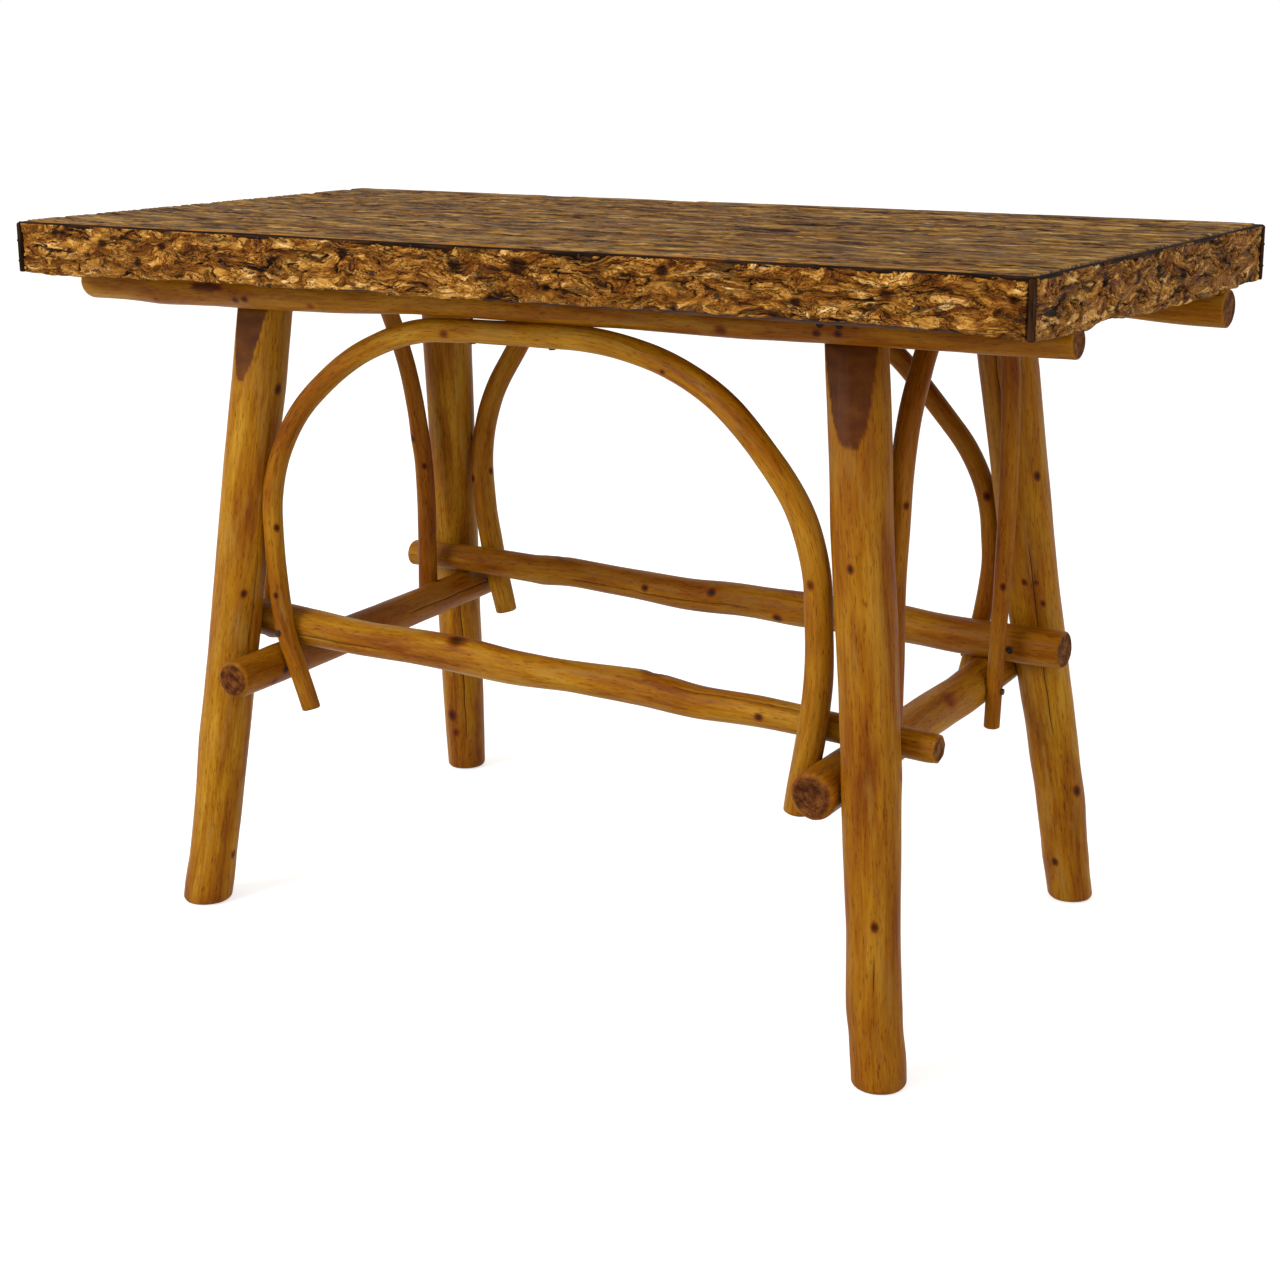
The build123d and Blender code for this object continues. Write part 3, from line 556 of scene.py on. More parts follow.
def knotted(radius, here, turn, knots, stains, seed):
    """The radius with the knots' collars and sunken eyes, and how dark the knots and stains are."""
    along = here[:, 0]
    shade = np.zeros(len(turn))
    for place, middle, size, height, *darkness in knots:
        across = angle_between(turn, radians(middle)) * radius
        away = np.hypot((along - place) / EYE_STRETCH, across) / size
        collar = np.hypot((along - place) / COLLAR_STRETCH, across) / (size * COLLAR_WIDTH)
        radius += height * np.exp(-(collar**2)) - abs(height) * 0.55 * np.exp(-((away / 0.45) ** 2))
        shade = np.maximum(shade, (darkness or [1])[0] * np.exp(-((away / 0.85) ** 2.6)))
    for place, middle, long, wide in stains:
        across = angle_between(turn, radians(middle)) * radius
        away = np.hypot((along - place) / long, across / wide)
        away += 0.35 * lumps(here, (long / 2, wide / 2, wide / 2), seed + 11)
        shade = np.maximum(shade, 0.62 * (1 - smooth(0.5, 1.1, away)))
    return radius, shade


def cut_ends(radius, along, length, turn, rounding, whittled, seed):
    """The radius with both ends rounded over, and the far one whittled to flats where asked."""
    for reach, from_end in zip(rounding, (along, length - along)):
        near_end = np.clip(from_end, 0, reach)
        radius -= reach - np.sqrt(np.maximum(reach**2 - (reach - near_end) ** 2, 0))
    if whittled:
        reach, count = whittled
        part = 2 * np.pi / count
        facet = np.cos(part / 2) / np.cos((turn + seed) % part - part / 2)
        radius *= 1 + (facet - 1) * (1 - smooth(0, reach, length - along))
    return radius


def flattened(points, flats, seed):
    """The points pressed back to their planes, and how much each one lies on a hewn face."""
    hewn = np.zeros(len(points))
    for origin, outward, is_hewn in flats:
        outward = np.array(outward, float)
        over = (points - np.array(origin, float)) @ outward
        if is_hewn:
            over = over + 0.35 * lumps(points, (16, 16, 7), seed + 31, 2)
            hewn = np.maximum(hewn, smooth(-0.1, 0.5, over))
        points -= np.maximum(over, 0)[:, None] * outward
    return points, hewn


def pole(
    name, line, radii, seed, segments, facing=(0.50, -0.82, 0.28), upright=False, step=2.6,
    rounding=(2.5, 2.5), whittled=None, knots=(), checks=(), stains=(), flats=(),
    sway=((0, 0), (1, 0)), tone=((0, 0), (1, 0)), rough=1.0, material=HICKORY, slot="peeled_hickory",
):
    """A natural pole along a line.

    Turns are in degrees from the side that faces along facing, and places are distances along the line.
    radii: (share of the length, radius) pairs
    segments, step: points around it, and the length from ring to ring
    upright: whether its ends are cut level, as a leg's are
    rounding: the radius of the edge at the start and at the end
    whittled: (length, number of flats) cut at the end
    knots: (place, turn, size, height), and then how dark it is where that isn't 1
    checks: (from, to, turn, width, depth)
    stains: (place, turn, length, width)
    flats: (point, outward direction, whether it is hewn) planes that the pole doesn't pass
    sway: (place, how far the pole strays sideways there) pairs
    tone: (share of the length, how much redder and darker it is there) pairs
    rough: how strong its unevenness is
    """
    line, places = evenly(line)
    length = places[-1]
    tangents, first, second = directions(line, facing, upright)
    line = strayed(line, places, second, sway)

    ring_count = max(FEWEST_RINGS, round(length / step))
    mesh = closed_tube(segments, ring_count)
    unit = points_of(mesh)
    side = END_RINGS / ring_count
    along = np.interp(unit[:, 2], [0, side, 1 - side, 1], [0, END_REACH, length - END_REACH, length])
    rim = np.minimum(np.hypot(unit[:, 0], unit[:, 1]), 1)
    turn = np.arctan2(unit[:, 1], unit[:, 0])
    radius = np.interp(along / length, *zip(*radii))
    turn, depth, dark = opened(checks, along, turn, radius, rim, 2 * np.pi / segments, seed)

    around = rows(np.cos(turn), np.sin(turn))
    here = np.column_stack([along, around * radius[:, None]])
    radius = radius + rough * sum(lumps(here, size, seed + skip) * height for size, height, skip in UNEVEN)
    radius, knot = knotted(radius, here, turn, knots, stains, seed)
    radius = cut_ends(radius - depth, along, length, turn, rounding, whittled, seed)

    # Poles drift a little from their line, and less within 60 mm of their ends
    centre = sampled(line, places, along)
    out = sampled(first, places, along) * around[:, :1] + sampled(second, places, along) * around[:, 1:]
    fade = np.clip(np.minimum(along, length - along) / 60, 0, 1)
    drift = rows(*(lumps(rows(along, 0, axis), (130, 1, 1), seed + 20 + axis) for axis in range(3)))
    if upright:
        drift[:, 2] = 0
    points = centre + out * (radius * rim)[:, None] + drift * (0.5 * rough * fade)[:, None]

    # Sawn ends are slightly uneven, dished inwards
    inner = (rim < 0.995) & ((along < 1e-6) | (along > length - 1e-6))
    direction = np.where(along < length / 2, 1.0, -1.0)[:, None] * sampled(tangents, places, along)
    uneven = (0.35 + 0.3 * lumps(here * rim[:, None], (9, 9, 9), seed + 5)) * inner * (1 - rim) ** 0.3
    points += direction * np.clip(uneven, 0, 1)[:, None]

    points, hewn = flattened(points, flats, seed)
    end = ((along < END_FACE) | (along > length - END_FACE)) * 1.0
    grain = np.column_stack([along, around * (radius * rim)[:, None]]) * MM
    grain[:, 0] += seed * GRAIN_STEP

    move_points(mesh, points)
    mark(mesh, "grain", grain)
    mark(mesh, "marks", rows(knot, dark, hewn))
    mark(mesh, "end", end)
    mark(mesh, "tone", np.interp(along / length, *zip(*tone)))
    finished(mesh, name, material)


# The battens' underside, where the legs end and other poles are cut level
UNDERSIDE = 709
LEVEL = ((0, 0, UNDERSIDE), (0, 0, 1), False)
LEG = {"upright": True, "rounding": (6, 0.2)}

# Legs, with the notches for the rails hewn into their outer faces
pole(
    "leg_front_left",
    straight((-403, -263, 0), (-361, -154, UNDERSIDE)),
    [
        (0, 27.4), (0.03, 27.6), (0.07, 26.6), (0.15, 26.9), (0.27, 28.4), (0.34, 28), (0.5, 28.9),
        (0.85, 30.2), (1, 30.2),
    ],
    seed=1, segments=84, **LEG,
    sway=[
        (0, 0), (60, 1.8), (100, 2.5), (200, 1.6), (300, 2), (430, 1.8), (510, 0.6), (600, 1.6), (709, 1.2),
    ],
    tone=[(0, 0.7), (0.03, 0.2), (0.06, 0), (1, 0)],
    knots=[(588, 56, 5, 1.2), (362, 21, 4, 1.2), (56, 65, 4, 0.8), (470, 170, 5, 1.5), (210, -140, 4, 1)],
    checks=[(290, 410, 48, 1.8, 3), (300, 640, -150, 1.2, 2)],
    flats=[((-361, -175.78, 685.68), (0, -0.96554, 0.26027), True)],
)
pole(
    "leg_front_right",
    straight((466, -282, 0), (363, -154, UNDERSIDE)),
    [
        (0, 25.6), (0.04, 25.9), (0.07, 25.5), (0.1, 26.5), (0.2, 25.9), (0.35, 27.8), (0.55, 29.3),
        (0.86, 29.9), (1, 30),
    ],
    seed=2, segments=84, **LEG,
    sway=[
        (0, 1.2), (28, 1.1), (72, -1.8), (110, -0.8), (150, 0.4), (240, 1.1), (390, 1.6), (528, -0.2),
        (709, -0.6),
    ],
    tone=[(0, 1), (0.04, 0.6), (0.6, 0.5), (1, 0.5)],
    knots=[
        (159, -2, 4, 1.2), (490, -28, 3.8, 1.0), (634, -46, 4, 0.6), (294, 76, 5, 1.2), (320, 120, 5, 1.6),
        (560, 150, 4, 1),
    ],
    checks=[(60, 420, 150, 1.6, 3), (88, 138, -3, 1.4, 2)],
    flats=[
        ((363, -175.84, 689.13), (0, -0.95941, 0.28203), True),
        ((371.3, -174.2, 689), (0.2928, -0.9013, 0.3192), True),
    ],
)
pole(
    "leg_back_left",
    straight((-446, 283.4, 0), (-361, 157, UNDERSIDE)),
    [(0, 24.2), (0.07, 25.9), (0.13, 26.3), (0.3, 27.2), (0.72, 29), (0.83, 30.3), (1, 29.8)],
    seed=3, segments=76, **LEG,
    sway=[(0, 1.3), (50, 1), (228, 0.6), (508, 0.3), (709, 0.4)],
    tone=[(0, 0.9), (0.3, 0.2), (0.5, 0)],
    knots=[(84, -31, 7, 1.4, 0.8), (58, -20, 5, 1, 0.6), (476, 66, 4, 1.4), (250, -170, 5, 1.5)],
    checks=[(40, 330, 10, 1.6, 3)],
    flats=[((-361, 177.78, 690.83), (0, 0.96021, 0.27928), True)],
)
pole(
    "leg_back_right",
    straight((433, 262, 0), (364.5, 157, UNDERSIDE)),
    [
        (0, 25.2), (0.04, 25.6), (0.07, 26.4), (0.1, 25.9), (0.16, 27.3), (0.3, 28.1), (0.34, 28.7),
        (0.75, 30.6), (0.86, 31.9), (1, 32),
    ],
    seed=4, segments=84, **LEG,
    sway=[
        (0, 0), (48, -0.6), (88, 0.5), (128, 2), (168, 0.2), (208, 0.5), (268, -1), (400, -1.6), (470, -1.5),
        (560, 0.2), (709, 0.4),
    ],
    tone=[(0, 0.6), (0.04, 0), (0.35, 0), (0.5, 0.3), (1, 0.3)],
    knots=[
        (507, 28, 4.5, 1.2), (512, -28, 3.2, 0.6), (388, -22, 3, 0.8), (388, 1, 2.6, 0.6), (364, 11, 3, 0.8),
        (52, -34, 4, 1), (140, 36, 5.5, 1.4), (300, 160, 5, 1.5),
    ],
    checks=[(200, 440, -6, 1.4, 2.5), (510, 680, -30, 1.6, 3)],
    flats=[((364.5, 180.71, 686.87), (0, 0.96823, 0.25007), True)],
)

# Rails under the front and back of the top
pole(
    "rail_front",
    straight((-591.5, -194.58, 689.55), (598, -189.76, 694.47)),
    [
        (0, 20.6), (0.04, 20.4), (0.09, 21.5), (0.16, 20), (0.19, 20.4), (0.26, 19.8), (0.31, 19),
        (0.35, 17.8), (0.39, 16.6), (0.62, 16.1), (0.72, 16.8), (0.9, 15.3), (1, 15.2),
    ],
    seed=5, segments=60, rounding=(7, 2.5),
    sway=[
        (0, 0.8), (50, 0.4), (108, 1.6), (188, 0.4), (228, 1), (308, 0.7), (408, -0.8), (468, -1.8),
        (600, -1.6), (708, -1.2), (868, 0), (1196, 0),
    ],
    tone=[(0, 0.2), (0.35, 0.4), (1, 0.7)],
    knots=[
        (115, 61, 3.5, 1, 0.5), (338, 54, 4.5, 1, 0.5), (839, 45, 6, 0.8, 0.6), (233, 47, 3.6, 0.5),
        (247, 42, 3.6, 0.5), (941, 36, 3.6, 0.5), (963, 33, 3.6, 0.5),
    ],
    stains=[(193, 12, 26, 6)],
    flats=[LEVEL],
)
pole(
    "rail_back",
    straight((-598, 189.32, 695.94), (598, 199.92, 690.17), bows=[(1.0, 0.13, (0, 0, -7))]),
    [(0, 13.9), (1, 19.6)],
    seed=6, segments=56,
    tone=[(0, 0.6), (1, 0.6)],
    knots=[(300, 40, 4, 1.2), (800, 120, 4, 1.2)],
    flats=[LEVEL],
)

# Stretchers: two from front to back, and two along the table that lie on them
pole(
    "cross_stretcher_left",
    straight((-336.08, -272.92, 272.14), (-369.22, 265.33, 281.03)),
    [(0, 20.6), (0.14, 21.6), (0.3, 20.6), (1, 19.4)],
    seed=7, segments=64, rounding=(5, 2.5),
    sway=[(0, 0), (80, 0.7), (300, 1.2), (540, 0.8)],
    tone=[(0, 1), (1, 1)],
    knots=[(66, 39, 4, 1), (48, 67, 3.5, 1), (400, -60, 4, 1.2)],
    checks=[(300, 500, 20, 1.4, 2.5)],
)
pole(
    "cross_stretcher_right",
    straight((380.04, -262.3, 263.23), (357.29, 237.03, 276.94)),
    [(0, 23.6), (0.15, 23.9), (0.35, 22), (0.6, 21.5), (0.78, 21.9), (1, 21.2)],
    seed=8, segments=64, rounding=(6, 3),
    sway=[(0, 0), (80, 0), (200, 0.5), (288, 1.1), (358, 2.6), (420, 1.5), (500, 1)],
    tone=[(0, 0.8), (0.3, 0.4), (1, 0.5)],
    knots=[(288, -7, 12, 3, 0.32), (150, 80, 4, 1.2), (420, 60, 4, 1.2)],
    checks=[(30, 200, 50, 1.4, 2.5)],
)
pole(
    "long_stretcher_front",
    straight((-414.45, -166.88, 313.38), (474.26, -186.89, 300.15)),
    [
        (0, 20.4), (0.13, 20.9), (0.22, 19), (0.4, 18.3), (0.46, 17.8), (0.52, 16.8), (0.64, 17),
        (0.69, 16.3), (0.75, 15.8), (0.8, 15.3), (1, 14.5),
    ],
    seed=9, segments=60, rounding=(2.5, 3.5),
    sway=[
        (0, -2.6), (110, -0.6), (190, 0.3), (250, -2.6), (300, -3), (390, -1.2), (470, -4.4), (560, -6.1),
        (618, -3.2), (690, -7.1), (760, -6.6), (889, -5.4),
    ],
    knots=[(320, -46, 10, 2.5, 0.75), (565, -100, 14, 3.5), (700, 20, 4, 1)],
    checks=[(90, 235, 30, 1.6, 3), (590, 760, -35, 1.4, 2.5)],
    whittled=(14, 8),
)
pole(
    "long_stretcher_back",
    straight((-442.34, 185.68, 313.99), (452.54, 166.37, 315.21)),
    [
        (0, 16.1), (0.21, 17.1), (0.23, 18), (0.26, 17.1), (0.38, 17.4), (0.46, 18.9), (0.52, 19.2),
        (0.57, 18.5), (0.64, 19.5), (1, 20.4),
    ],
    seed=10, segments=60, rounding=(2.5, 3.5),
    sway=[
        (0, 0), (150, -2.8), (208, -1.5), (250, -3.6), (330, -1.8), (418, 0.4), (488, -3), (568, -1.4),
        (708, -2.4), (768, -0.2), (895, 0),
    ],
    tone=[(0, 0.3), (0.4, 0.6), (1, 0.5)],
    knots=[(368, 9, 4, 2.4), (460, -8, 5, 2.6), (550, 45, 5, 2.2), (680, -70, 8, 2.5), (230, -80, 7, 2)],
    checks=[(250, 520, 30, 1.4, 2.5)],
)

# Bent branches that rise from the stretchers to the rails and the battens
pole(
    "arch_front",
    bent(
        (-0.18, -215.55, 0),
        (0.99987, -0.01632, 0),
        (0.00057, 0.0352, 0.99938),
        [
            (-293.39, 226.14), (-333.59, 348.86), (-333.59, 525.71), (-182, 662.43), (170, 665.33),
            (355.4, 511.98), (355.4, 348.86), (339.59, 226.14),
        ],
    ),
    [(0, 10.2), (0.1, 11), (0.25, 11.3), (0.42, 12.2), (0.58, 12.8), (0.7, 13), (0.8, 13.6), (1, 14)],
    seed=11, segments=48,
    facing=(-0.01631, -0.99925, 0.03521),
    sway=[
        (0, 9), (30, 7), (88, 0.5), (148, 1.5), (228, -3), (308, 0.5), (388, -1.4), (428, 1), (488, 3.5),
        (548, 1.6), (620, -1.0), (740, -1.4), (788, -2), (828, -3.5), (868, -6.2), (908, -9), (940, -10),
        (968, -9), (988, -6.6), (1028, -1.8), (1088, 2), (1140, 0), (1208, -3.8), (1260, -2.4), (1340, 0.8),
    ],
    tone=[(0, 0.5), (0.3, 0.3), (0.45, 0), (0.7, 0.2), (1, 0.5)],
    knots=[
        (592, 14, 5, 1.2, 0.6), (210, 60, 3.6, 1), (134, 20, 3, 0.5), (1124, -2, 4.2, 1, 0.75),
        (860, 20, 2.6, 0.5),
    ],
)
pole(
    "arch_back",
    bent(
        (0.15, 213.63, 0),
        (0.99986, -0.01665, 0),
        (-0.00047, -0.02852, 0.99959),
        [
            (-327.77, 244.1), (-350.01, 340.2), (-350.01, 500.28), (-225, 669.21), (190, 664.98),
            (348.01, 492.13), (348.01, 361.66), (319.77, 244.1),
        ],
    ),
    [
        (0, 13.6), (0.08, 13.8), (0.25, 12.8), (0.36, 12), (0.6, 11.6), (0.8, 11.3), (0.88, 10.6),
        (0.93, 10.3), (1, 11.6),
    ],
    seed=12, segments=44,
    facing=(-0.01664, -0.99945, -0.02852),
    sway=[
        (0, 9), (100, 9), (150, 4.5), (190, 2.2), (260, 3.4), (320, 2.6), (400, 0), (900, 1), (988, 0.8),
        (1068, 1.9), (1120, 0), (1180, -3.6), (1228, -1), (1320, -1),
    ],
    tone=[(0, 0.4), (0.6, 0.5), (1, 0.6)],
    knots=[(185, 85, 3.5, 1), (176, -25, 4, 1.2), (1106, -28, 4, 1.2), (1150, 120, 4, 1.4)],
)
pole(
    "arch_left",
    bent(
        (-391.67, 0, 0),
        (0.00536, 0.99999, 0),
        (0, 0, 1),
        [
            (-138.92, 284.29), (-128, 601.75), (-75, 698.8), (55, 698.8), (124, 558.85), (148, 438.73),
            (144.2, 264),
        ],
    ),
    [(0, 11.5), (0.4, 11), (0.75, 10.6), (0.88, 11.6), (1, 11.6)],
    seed=13, segments=40,
    facing=(0.99999, -0.00536, 0),
    tone=[(0, 1), (1, 1)],
    knots=[(812, 50, 3.2, 0.8), (776, 110, 4, 1.4)],
    flats=[LEVEL],
)
pole(
    "arch_right",
    bent(
        (398.87, 0, 0),
        (-0.04768, 0.99886, 0),
        (0, 0, 1),
        [
            (-151, 262.84), (-137, 588.88), (-68, 699.2), (95, 699.2), (133.5, 631.78), (143.5, 524.53),
            (136, 421.57), (115, 232.81),
        ],
    ),
    [(0, 11.3), (0.4, 11.3), (0.6, 10.4), (1, 8.8)],
    seed=14, segments=40,
    facing=(0.99883, 0.04831, 0),
    sway=[
        (0, -0.5), (68, -2.6), (130, -4.2), (180, -6.4), (215, -5), (260, -2), (330, 0), (410, 4), (480, 1),
        (560, 0),
    ],
    tone=[(0, 1), (1, 1)],
    knots=[(262, -36, 3.2, 1), (924, 63, 3.2, 1)],
    flats=[LEVEL],
)

# ---- Bark

# The top bark: its size, the heights of the boards and of its crevices, and its ridges above them
TOP_LENGTH = 1182
TOP_DEPTH = 572
STRIPS = 6
STRIP_GAP = 0.5
STRIP_HALF = TOP_DEPTH / 2 / STRIPS - STRIP_GAP / 2
BOARD_TOP = 756.0
CREVICE = 757.2
RIDGE_HEIGHT = 4.7
# Faces along and across a strip
STRIP_GRID = (560, 82)


def closed_sheet(along, across):
    """A sheet of width and height 1 with a fine grid for its face, 1 thick, with a flat back."""
    bm = bmesh.new()
    bmesh.ops.create_grid(bm, x_segments=along, y_segments=across, size=0.5)
    rim = [edge for edge in bm.edges if edge.is_boundary]
    made = bmesh.ops.extrude_edge_only(bm, edges=rim)["geom"]
    lowered = [part for part in made if isinstance(part, bmesh.types.BMVert)]
    bmesh.ops.translate(bm, verts=lowered, vec=(0, 0, -1))
    bmesh.ops.holes_fill(bm, edges=[edge for edge in bm.edges if edge.is_boundary], sides=0)
    bmesh.ops.recalc_face_normals(bm, faces=bm.faces)
    return mesh_from(bm, "sheet")


def terraces(values, edge=0.25):
    """Turns a slope to flat steps, each rising over a share of its width."""
    level = np.floor(values)
    return level + smooth(0, edge, values - level)


for index in range(STRIPS):
    middle = (index + 0.5) * TOP_DEPTH / STRIPS - TOP_DEPTH / 2
    mesh = closed_sheet(*STRIP_GRID)
    unit = points_of(mesh)
    x = unit[:, 0] * TOP_LENGTH
    y = middle + unit[:, 1] * 2 * STRIP_HALF
    face = unit[:, 2] > -0.5
    flat = rows(x, y, 0)
    waved = flat.copy()
    waved[:, 1] += lumps(flat, (170, 60, 1), 40, 2) * 6
    ridge = 1 - np.abs(lumps(waved, (150, 9, 1), 41, 2))
    fine = 1 - np.abs(lumps(waved, (60, 4, 1), 42, 2))
    tops = terraces(lumps(waved, (58, 14, 1), 43, 3) * 2.2 + 10) - 10
    height = 0.50 * ridge**2 + 0.26 * fine + 0.12 * tops + 0.06
    # Strips thin out towards the seams between them, and are thicker at the back and at the left end
    seam = smooth(0, 3, STRIP_HALF - np.abs(y - middle) + 1.2 * lumps(flat, (30, 9, 1), 44))
    thick = 0.5 * smooth(250, 284, y) + 0.4 * smooth(560, 588, -x)
    height = np.clip(height * (0.45 + 0.55 * seam), 0, 1)
    z = np.where(face, CREVICE + RIDGE_HEIGHT * np.minimum(height + thick, 1), BOARD_TOP)
    move_points(mesh, rows(x, y, z))
    mark(mesh, "relief", height)
    finished(mesh, f"top_bark_{index + 1}", TOP_BARK)

# The edge bark: how far out its faces lie, how thick it is and how high it reaches
FRONT_REACH = 295
SIDE_REACH = 600
EDGE_THICKNESS = 9
EDGE_TOP = 758.6
# The length of its faces, and their rows
EDGE_CELL = 1.25
EDGE_ROWS = 50
# For each edge: the way out, seed, lower edge as (place, height), and knots as (place, height, size)
EDGES = {
    "front": (
        (0, -1, 0), 85,
        [
            (-600, 705), (-497, 704.5), (-371, 708), (-252, 708), (-99, 711), (-83, 708), (84, 710.5),
            (187, 711.5), (285, 712), (492, 712), (568, 708.5), (600, 706),
        ],
        [
            (-470, 742, 6), (-382, 743, 5), (-304, 744, 4), (-417, 725, 5), (-135, 746, 6), (-247, 723, 5),
            (77, 744, 9), (110, 726, 4), (237, 747, 7), (463, 739, 6), (580, 741, 5), (376, 728, 5),
            (250, 716, 5),
        ],
    ),
    "back": (
        (0, 1, 0), 80,
        [(-600, 703), (-300, 701), (-50, 705), (100, 702), (400, 700), (600, 706)],
        [(-500, 738, 6), (-210, 744, 5), (30, 730, 8), (300, 742, 5), (480, 728, 5)],
    ),
    "left": (
        (-1, 0, 0), 80,
        [(-295, 706), (-150, 708), (-60, 703), (80, 702), (150, 708), (295, 707)],
        [(-180, 740, 6), (40, 732, 7), (210, 744, 5)],
    ),
    "right": (
        (1, 0, 0), 85,
        [
            (-288, 706), (-196, 703.7), (-164, 702.9), (-147, 706), (-108, 706.7), (-77, 705), (-16, 702),
            (90, 700.7), (189, 700.7), (236, 702.6), (284, 702.4),
        ],
        [
            (-137, 742, 7), (-60, 738, 7), (60, 730, 8), (70, 712, 6), (-105, 716, 6), (-5, 714, 5),
            (180, 736, 7),
        ],
    ),
}

for edge, (out, seed, lower, edge_knots) in EDGES.items():
    reach, span = (FRONT_REACH, TOP_LENGTH) if out[1] else (SIDE_REACH, TOP_DEPTH)
    out = np.array(out, float)
    up = np.array((0.0, 0.0, 1.0))
    heading = np.cross(up, out)
    mesh = closed_sheet(round(span / EDGE_CELL), EDGE_ROWS)
    unit = points_of(mesh)
    face = unit[:, 2] > -0.5
    along = unit[:, 0] * span
    share = unit[:, 1] + 0.5
    side = along * (heading[0] + heading[1])
    low = np.interp(side, *zip(*lower)) + lumps(rows(along, 0, 0), (26, 1, 1), seed, 3) * 1.5
    z = low + share * (EDGE_TOP - low)
    flat = rows(along, z, 0)

    # The bark flows around its knots
    knot = np.zeros(len(along))
    swell = np.zeros(len(along))
    for place, level, size in edge_knots:
        away = np.hypot((side - place) / 1.25, z - level) / size
        away = away * (1 + 0.35 * lumps(flat, (9, 6, 1), seed + 9)) + 0.1
        knot = np.maximum(knot, np.exp(-(away**3)))
        swell += np.exp(-((away / 1.7) ** 2)) - 1.5 * np.exp(-((away / 0.5) ** 2))
        flat[:, 1] += (z - level) * 0.8 * np.exp(-((away / 2.2) ** 2))
    swirl_along = lumps(flat, (60, 22, 1), seed + 1, 4) * 12
    swirl_up = lumps(flat, (70, 24, 1), seed + 2, 4) * 6
    warped = flat + rows(swirl_along, swirl_up, 0)

    # Thin layers lie like terraces, cut by cracks, and some have a dark line along their foot, a painted
    # shadow under the layer's edge
    layers = lumps(warped, (60, 17, 1), seed + 3, 4) * 2.2 + 10
    broad = lumps(warped, (70, 22, 1), seed + 4, 3)
    path = np.abs(lumps(warped, (100, 16, 1), seed + 5, 3))
    cracks_and_shade = (1 - smooth(0.02, 0.075, path)) * smooth(-0.45, -0.05, lumps(flat, (60, 22, 1), seed + 6))
    fine = np.abs(lumps(warped, (42, 8, 1), seed + 7, 3))
    fine = (1 - smooth(0.02, 0.09, fine)) * smooth(-0.1, 0.3, lumps(flat, (50, 16, 1), seed + 8))
    cracks_and_shade = np.maximum(cracks_and_shade, 0.75 * fine)
    foot = (1 - smooth(0.02, 0.16, layers % 1)) * smooth(-0.35, 0.15, lumps(flat, (44, 15, 1), seed + 11))
    height = 0.56 + 0.2 * broad + 0.16 * (terraces(layers, 0.2) - 10) - 0.4 * cracks_and_shade + 0.18 * swell
    height += 0.1 * lumps(warped, (13, 4, 1), seed + 10, 2)
    height = np.clip(height, 0.02, 1)

    # The face is rounded over towards its wavy lower edge
    drop = np.clip((z - low) / 5, 0, 1)
    rounded = np.sqrt(drop * (2 - drop))
    depth = np.where(face, 2.0 + (5.6 * height + 1.2) * (0.35 + 0.65 * rounded), 0)
    points = heading * along[:, None] + up * z[:, None] + out * (reach - EDGE_THICKNESS + depth)[:, None]
    move_points(mesh, points)
    # Each layer takes its colours from a plane of its own in the pattern
    plane = rows(seed, 0, np.floor(layers) * 1.7)
    mark(mesh, "grain", warped * MM + plane)
    mark(mesh, "relief", height)
    # The cracks and the feet of the layers are painted near black in the material, as shade
    mark(mesh, "cracks_and_shade", np.maximum(cracks_and_shade * 0.9, foot * 0.8))
    mark(mesh, "knot", knot)
    finished(mesh, f"edge_bark_{edge}", EDGE_BARK)

# Split twigs along the upper edges and down the corners: start, end and radius
TRIM_SEED = 30
TWIGS = {
    "edge_trim_front": ((-598.5, -290, 758.1), (598.5, -290, 758.1), 2.5),
    "edge_trim_back": ((-598.5, 290.4, 757.9), (598.5, 290.4, 757.9), 2.5),
    "edge_trim_left": ((-595.2, -288, 757.9), (-595.2, 288, 757.9), 2.5),
    "edge_trim_right": ((595.4, -288, 757.9), (595.4, 288, 757.9), 2.2),
}
CORNER_X, CORNER_Y, CORNER_TOP = 596.1, 291.1, 759
CORNERS = {
    "front_left": (-CORNER_X, -CORNER_Y, 706),
    "front_right": (CORNER_X, -CORNER_Y, 707),
    "back_left": (-CORNER_X, CORNER_Y, 704),
    "back_right": (CORNER_X, CORNER_Y, 704),
}
for corner, foot in CORNERS.items():
    TWIGS["corner_trim_" + corner] = (foot, (*foot[:2], CORNER_TOP), 3.6)

for seed, (name, (start, end, radius)) in enumerate(TWIGS.items(), TRIM_SEED):
    pole(
        name,
        straight(start, end),
        [(0, radius), (1, radius)],
        seed=seed,
        segments=16,
        step=2.0,
        rounding=(0.8, 0.8),
        rough=0.35,
        material=TWIG,
        slot="bark_twig",
    )

# ---- Boards and fasteners

# A material for what a piece's name has in it; the first that fits counts
FINISHES = {
    "_nails": NAIL_STEEL,
    "_screws": SCREW_STEEL,
    "_tacks": TACK_STEEL,
    "_brads": TACK_STEEL,
    "top_plank": PINE_ALONG,
    "batten": PINE_ACROSS,
    "apron_front": STAINED_ALONG,
    "apron_back": STAINED_ALONG,
    "apron_left": STAINED_ACROSS,
    "apron_right": STAINED_ACROSS,
}

for name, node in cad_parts.items():
    if node.hide_render:
        continue
    finish = next(material for word, material in FINISHES.items() if word in name)
    for slot in node.material_slots:
        slot.material = finish

# ---- Floor, light and camera

# The floor and the sky look white but give off less light than that, so that shadows stay
FLOOR_SIZE = 60
FLOOR_GLOW = 0.62
SKY_LIGHT = 0.6
SOFTBOX_SIZE = 2.0
TABLE_MIDDLE = (0, 0, 0.45)


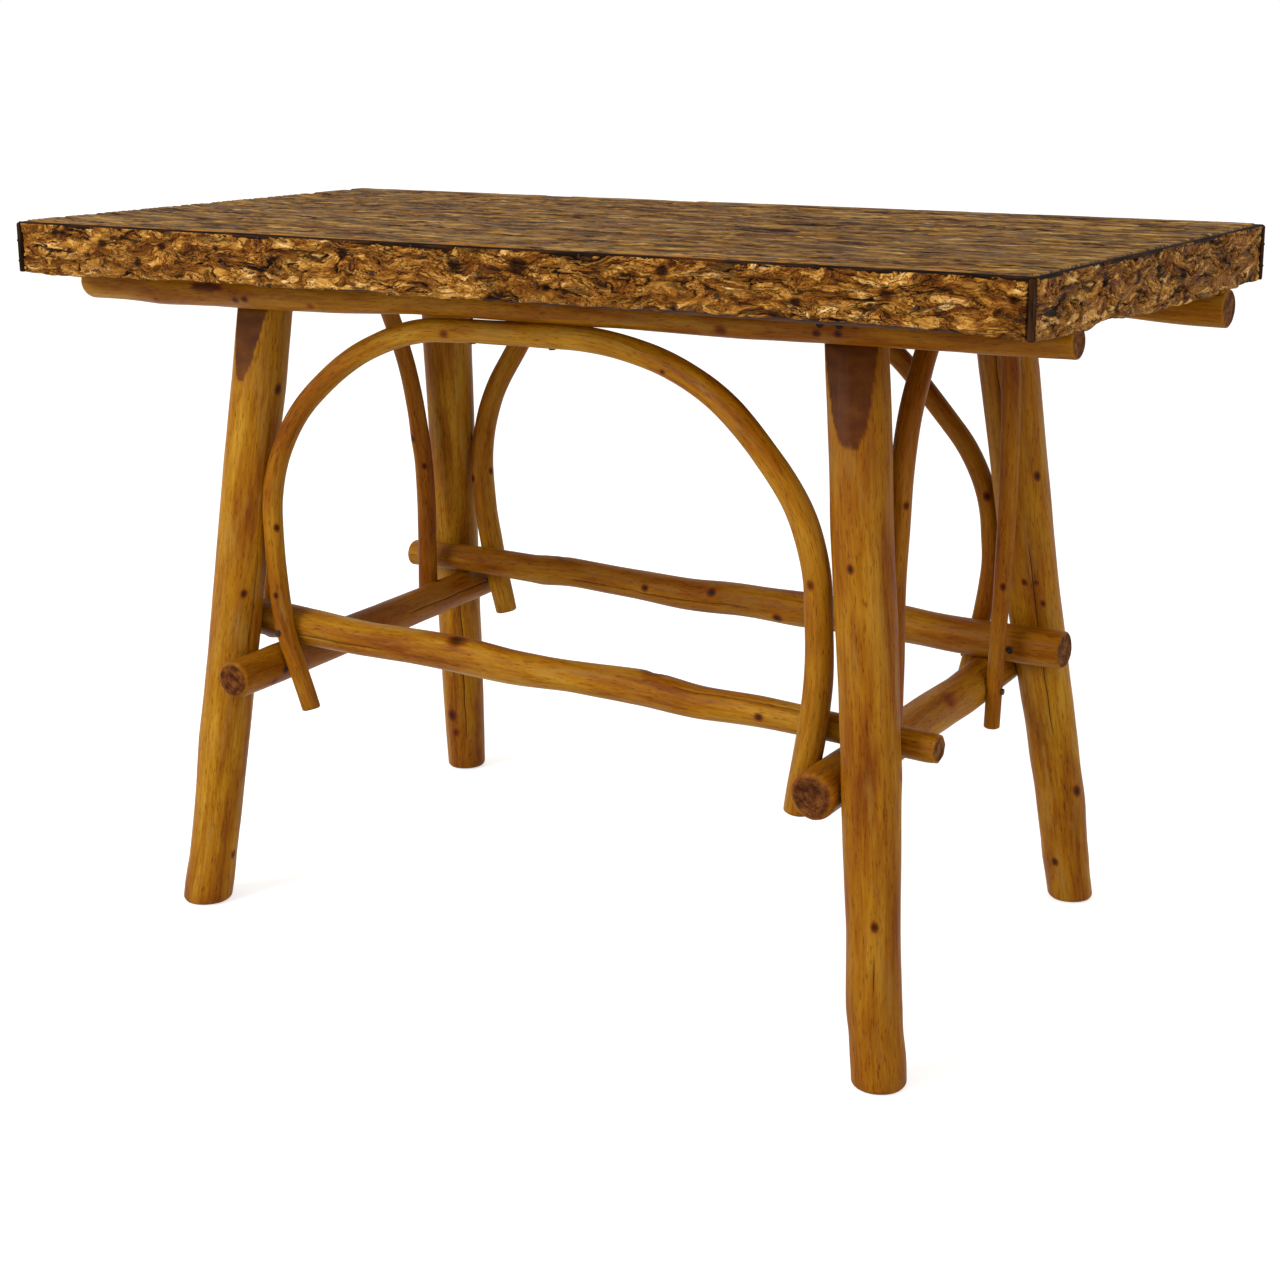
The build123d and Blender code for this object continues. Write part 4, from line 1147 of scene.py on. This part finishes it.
def seen_directly(tree):
    """1 where the camera sees it, also in or through something, and 0 for the light it gives off."""
    rays = add(tree, "LightPath").outputs
    seen = add(tree, "Math", {0: rays["Is Camera Ray"], 1: rays["Is Glossy Ray"]}, {"operation": "MAXIMUM"})
    return add(tree, "Math", {0: seen, 1: rays["Is Transmission Ray"]}, {"operation": "MAXIMUM"})


bm = bmesh.new()
bmesh.ops.create_grid(bm, x_segments=1, y_segments=1, size=FLOOR_SIZE)
floor = in_scene("floor", mesh_from(bm, "floor"))

made, tree, shader = new_material("pale studio floor")
connect(tree, shader, {"Base Color": paint("#E2E0DC"), "Roughness": 0.9})
glow = add(tree, "Math", {0: seen_directly(tree), 1: FLOOR_GLOW}, {"operation": "MULTIPLY"})
connect(tree, shader, {"Emission Color": (1, 1, 1, 1), "Emission Strength": glow})
floor.data.materials.append(made)

world = bpy.data.worlds.new("studio")
bpy.context.scene.world = world
world.use_nodes = True
tree = world.node_tree
tree.nodes.clear()
level = add(tree, "MapRange", {"Value": seen_directly(tree), "To Min": SKY_LIGHT})
sky = add(tree, "Background", {"Color": (1, 1, 1, 1), "Strength": level})
add(tree, "OutputWorld", {"Surface": sky})


def stand(made, right, up, back, place):
    """Stands an object at a place, its x, y and z axes along right, up and back."""
    made.matrix_world = Matrix(np.column_stack([right, up, back, place]).tolist() + [[0, 0, 0, 1]])


def softbox(name, place, power):
    """A square soft light that faces the middle of the table."""
    lamp = bpy.data.lights.new(name, "AREA")
    lamp.size = SOFTBOX_SIZE
    lamp.energy = power
    away = np.array(place) - TABLE_MIDDLE
    away /= np.linalg.norm(away)
    right = np.cross((0, 0, 1), away)
    right /= np.linalg.norm(right)
    stand(in_scene(name, lamp), right, np.cross(away, right), away, place)


softbox("key light", (-1.6, -3.2, 2.6), 100)
softbox("fill light", (3.4, -1.6, 1.8), 26)

# The camera looks from the front right, a little above the top
CAMERA_PLACE = (1.3390, -2.0279, 0.9586)
YAW, PITCH, ROLL = radians(33.032), radians(15.122), radians(-0.458)
ahead = np.array((-sin(YAW) * cos(PITCH), cos(YAW) * cos(PITCH), -sin(PITCH)))
right = np.array((cos(YAW), sin(YAW), 0))
upward = np.cross(right, ahead)
right, upward = cos(ROLL) * right + sin(ROLL) * upward, cos(ROLL) * upward - sin(ROLL) * right
lens = bpy.data.cameras.new("camera")
lens.lens = 63.607
lens.sensor_width = 36
camera = in_scene("camera", lens)
stand(camera, right, upward, -ahead, CAMERA_PLACE)
bpy.context.scene.camera = camera

bpy.context.scene.view_settings.view_transform = "Standard"
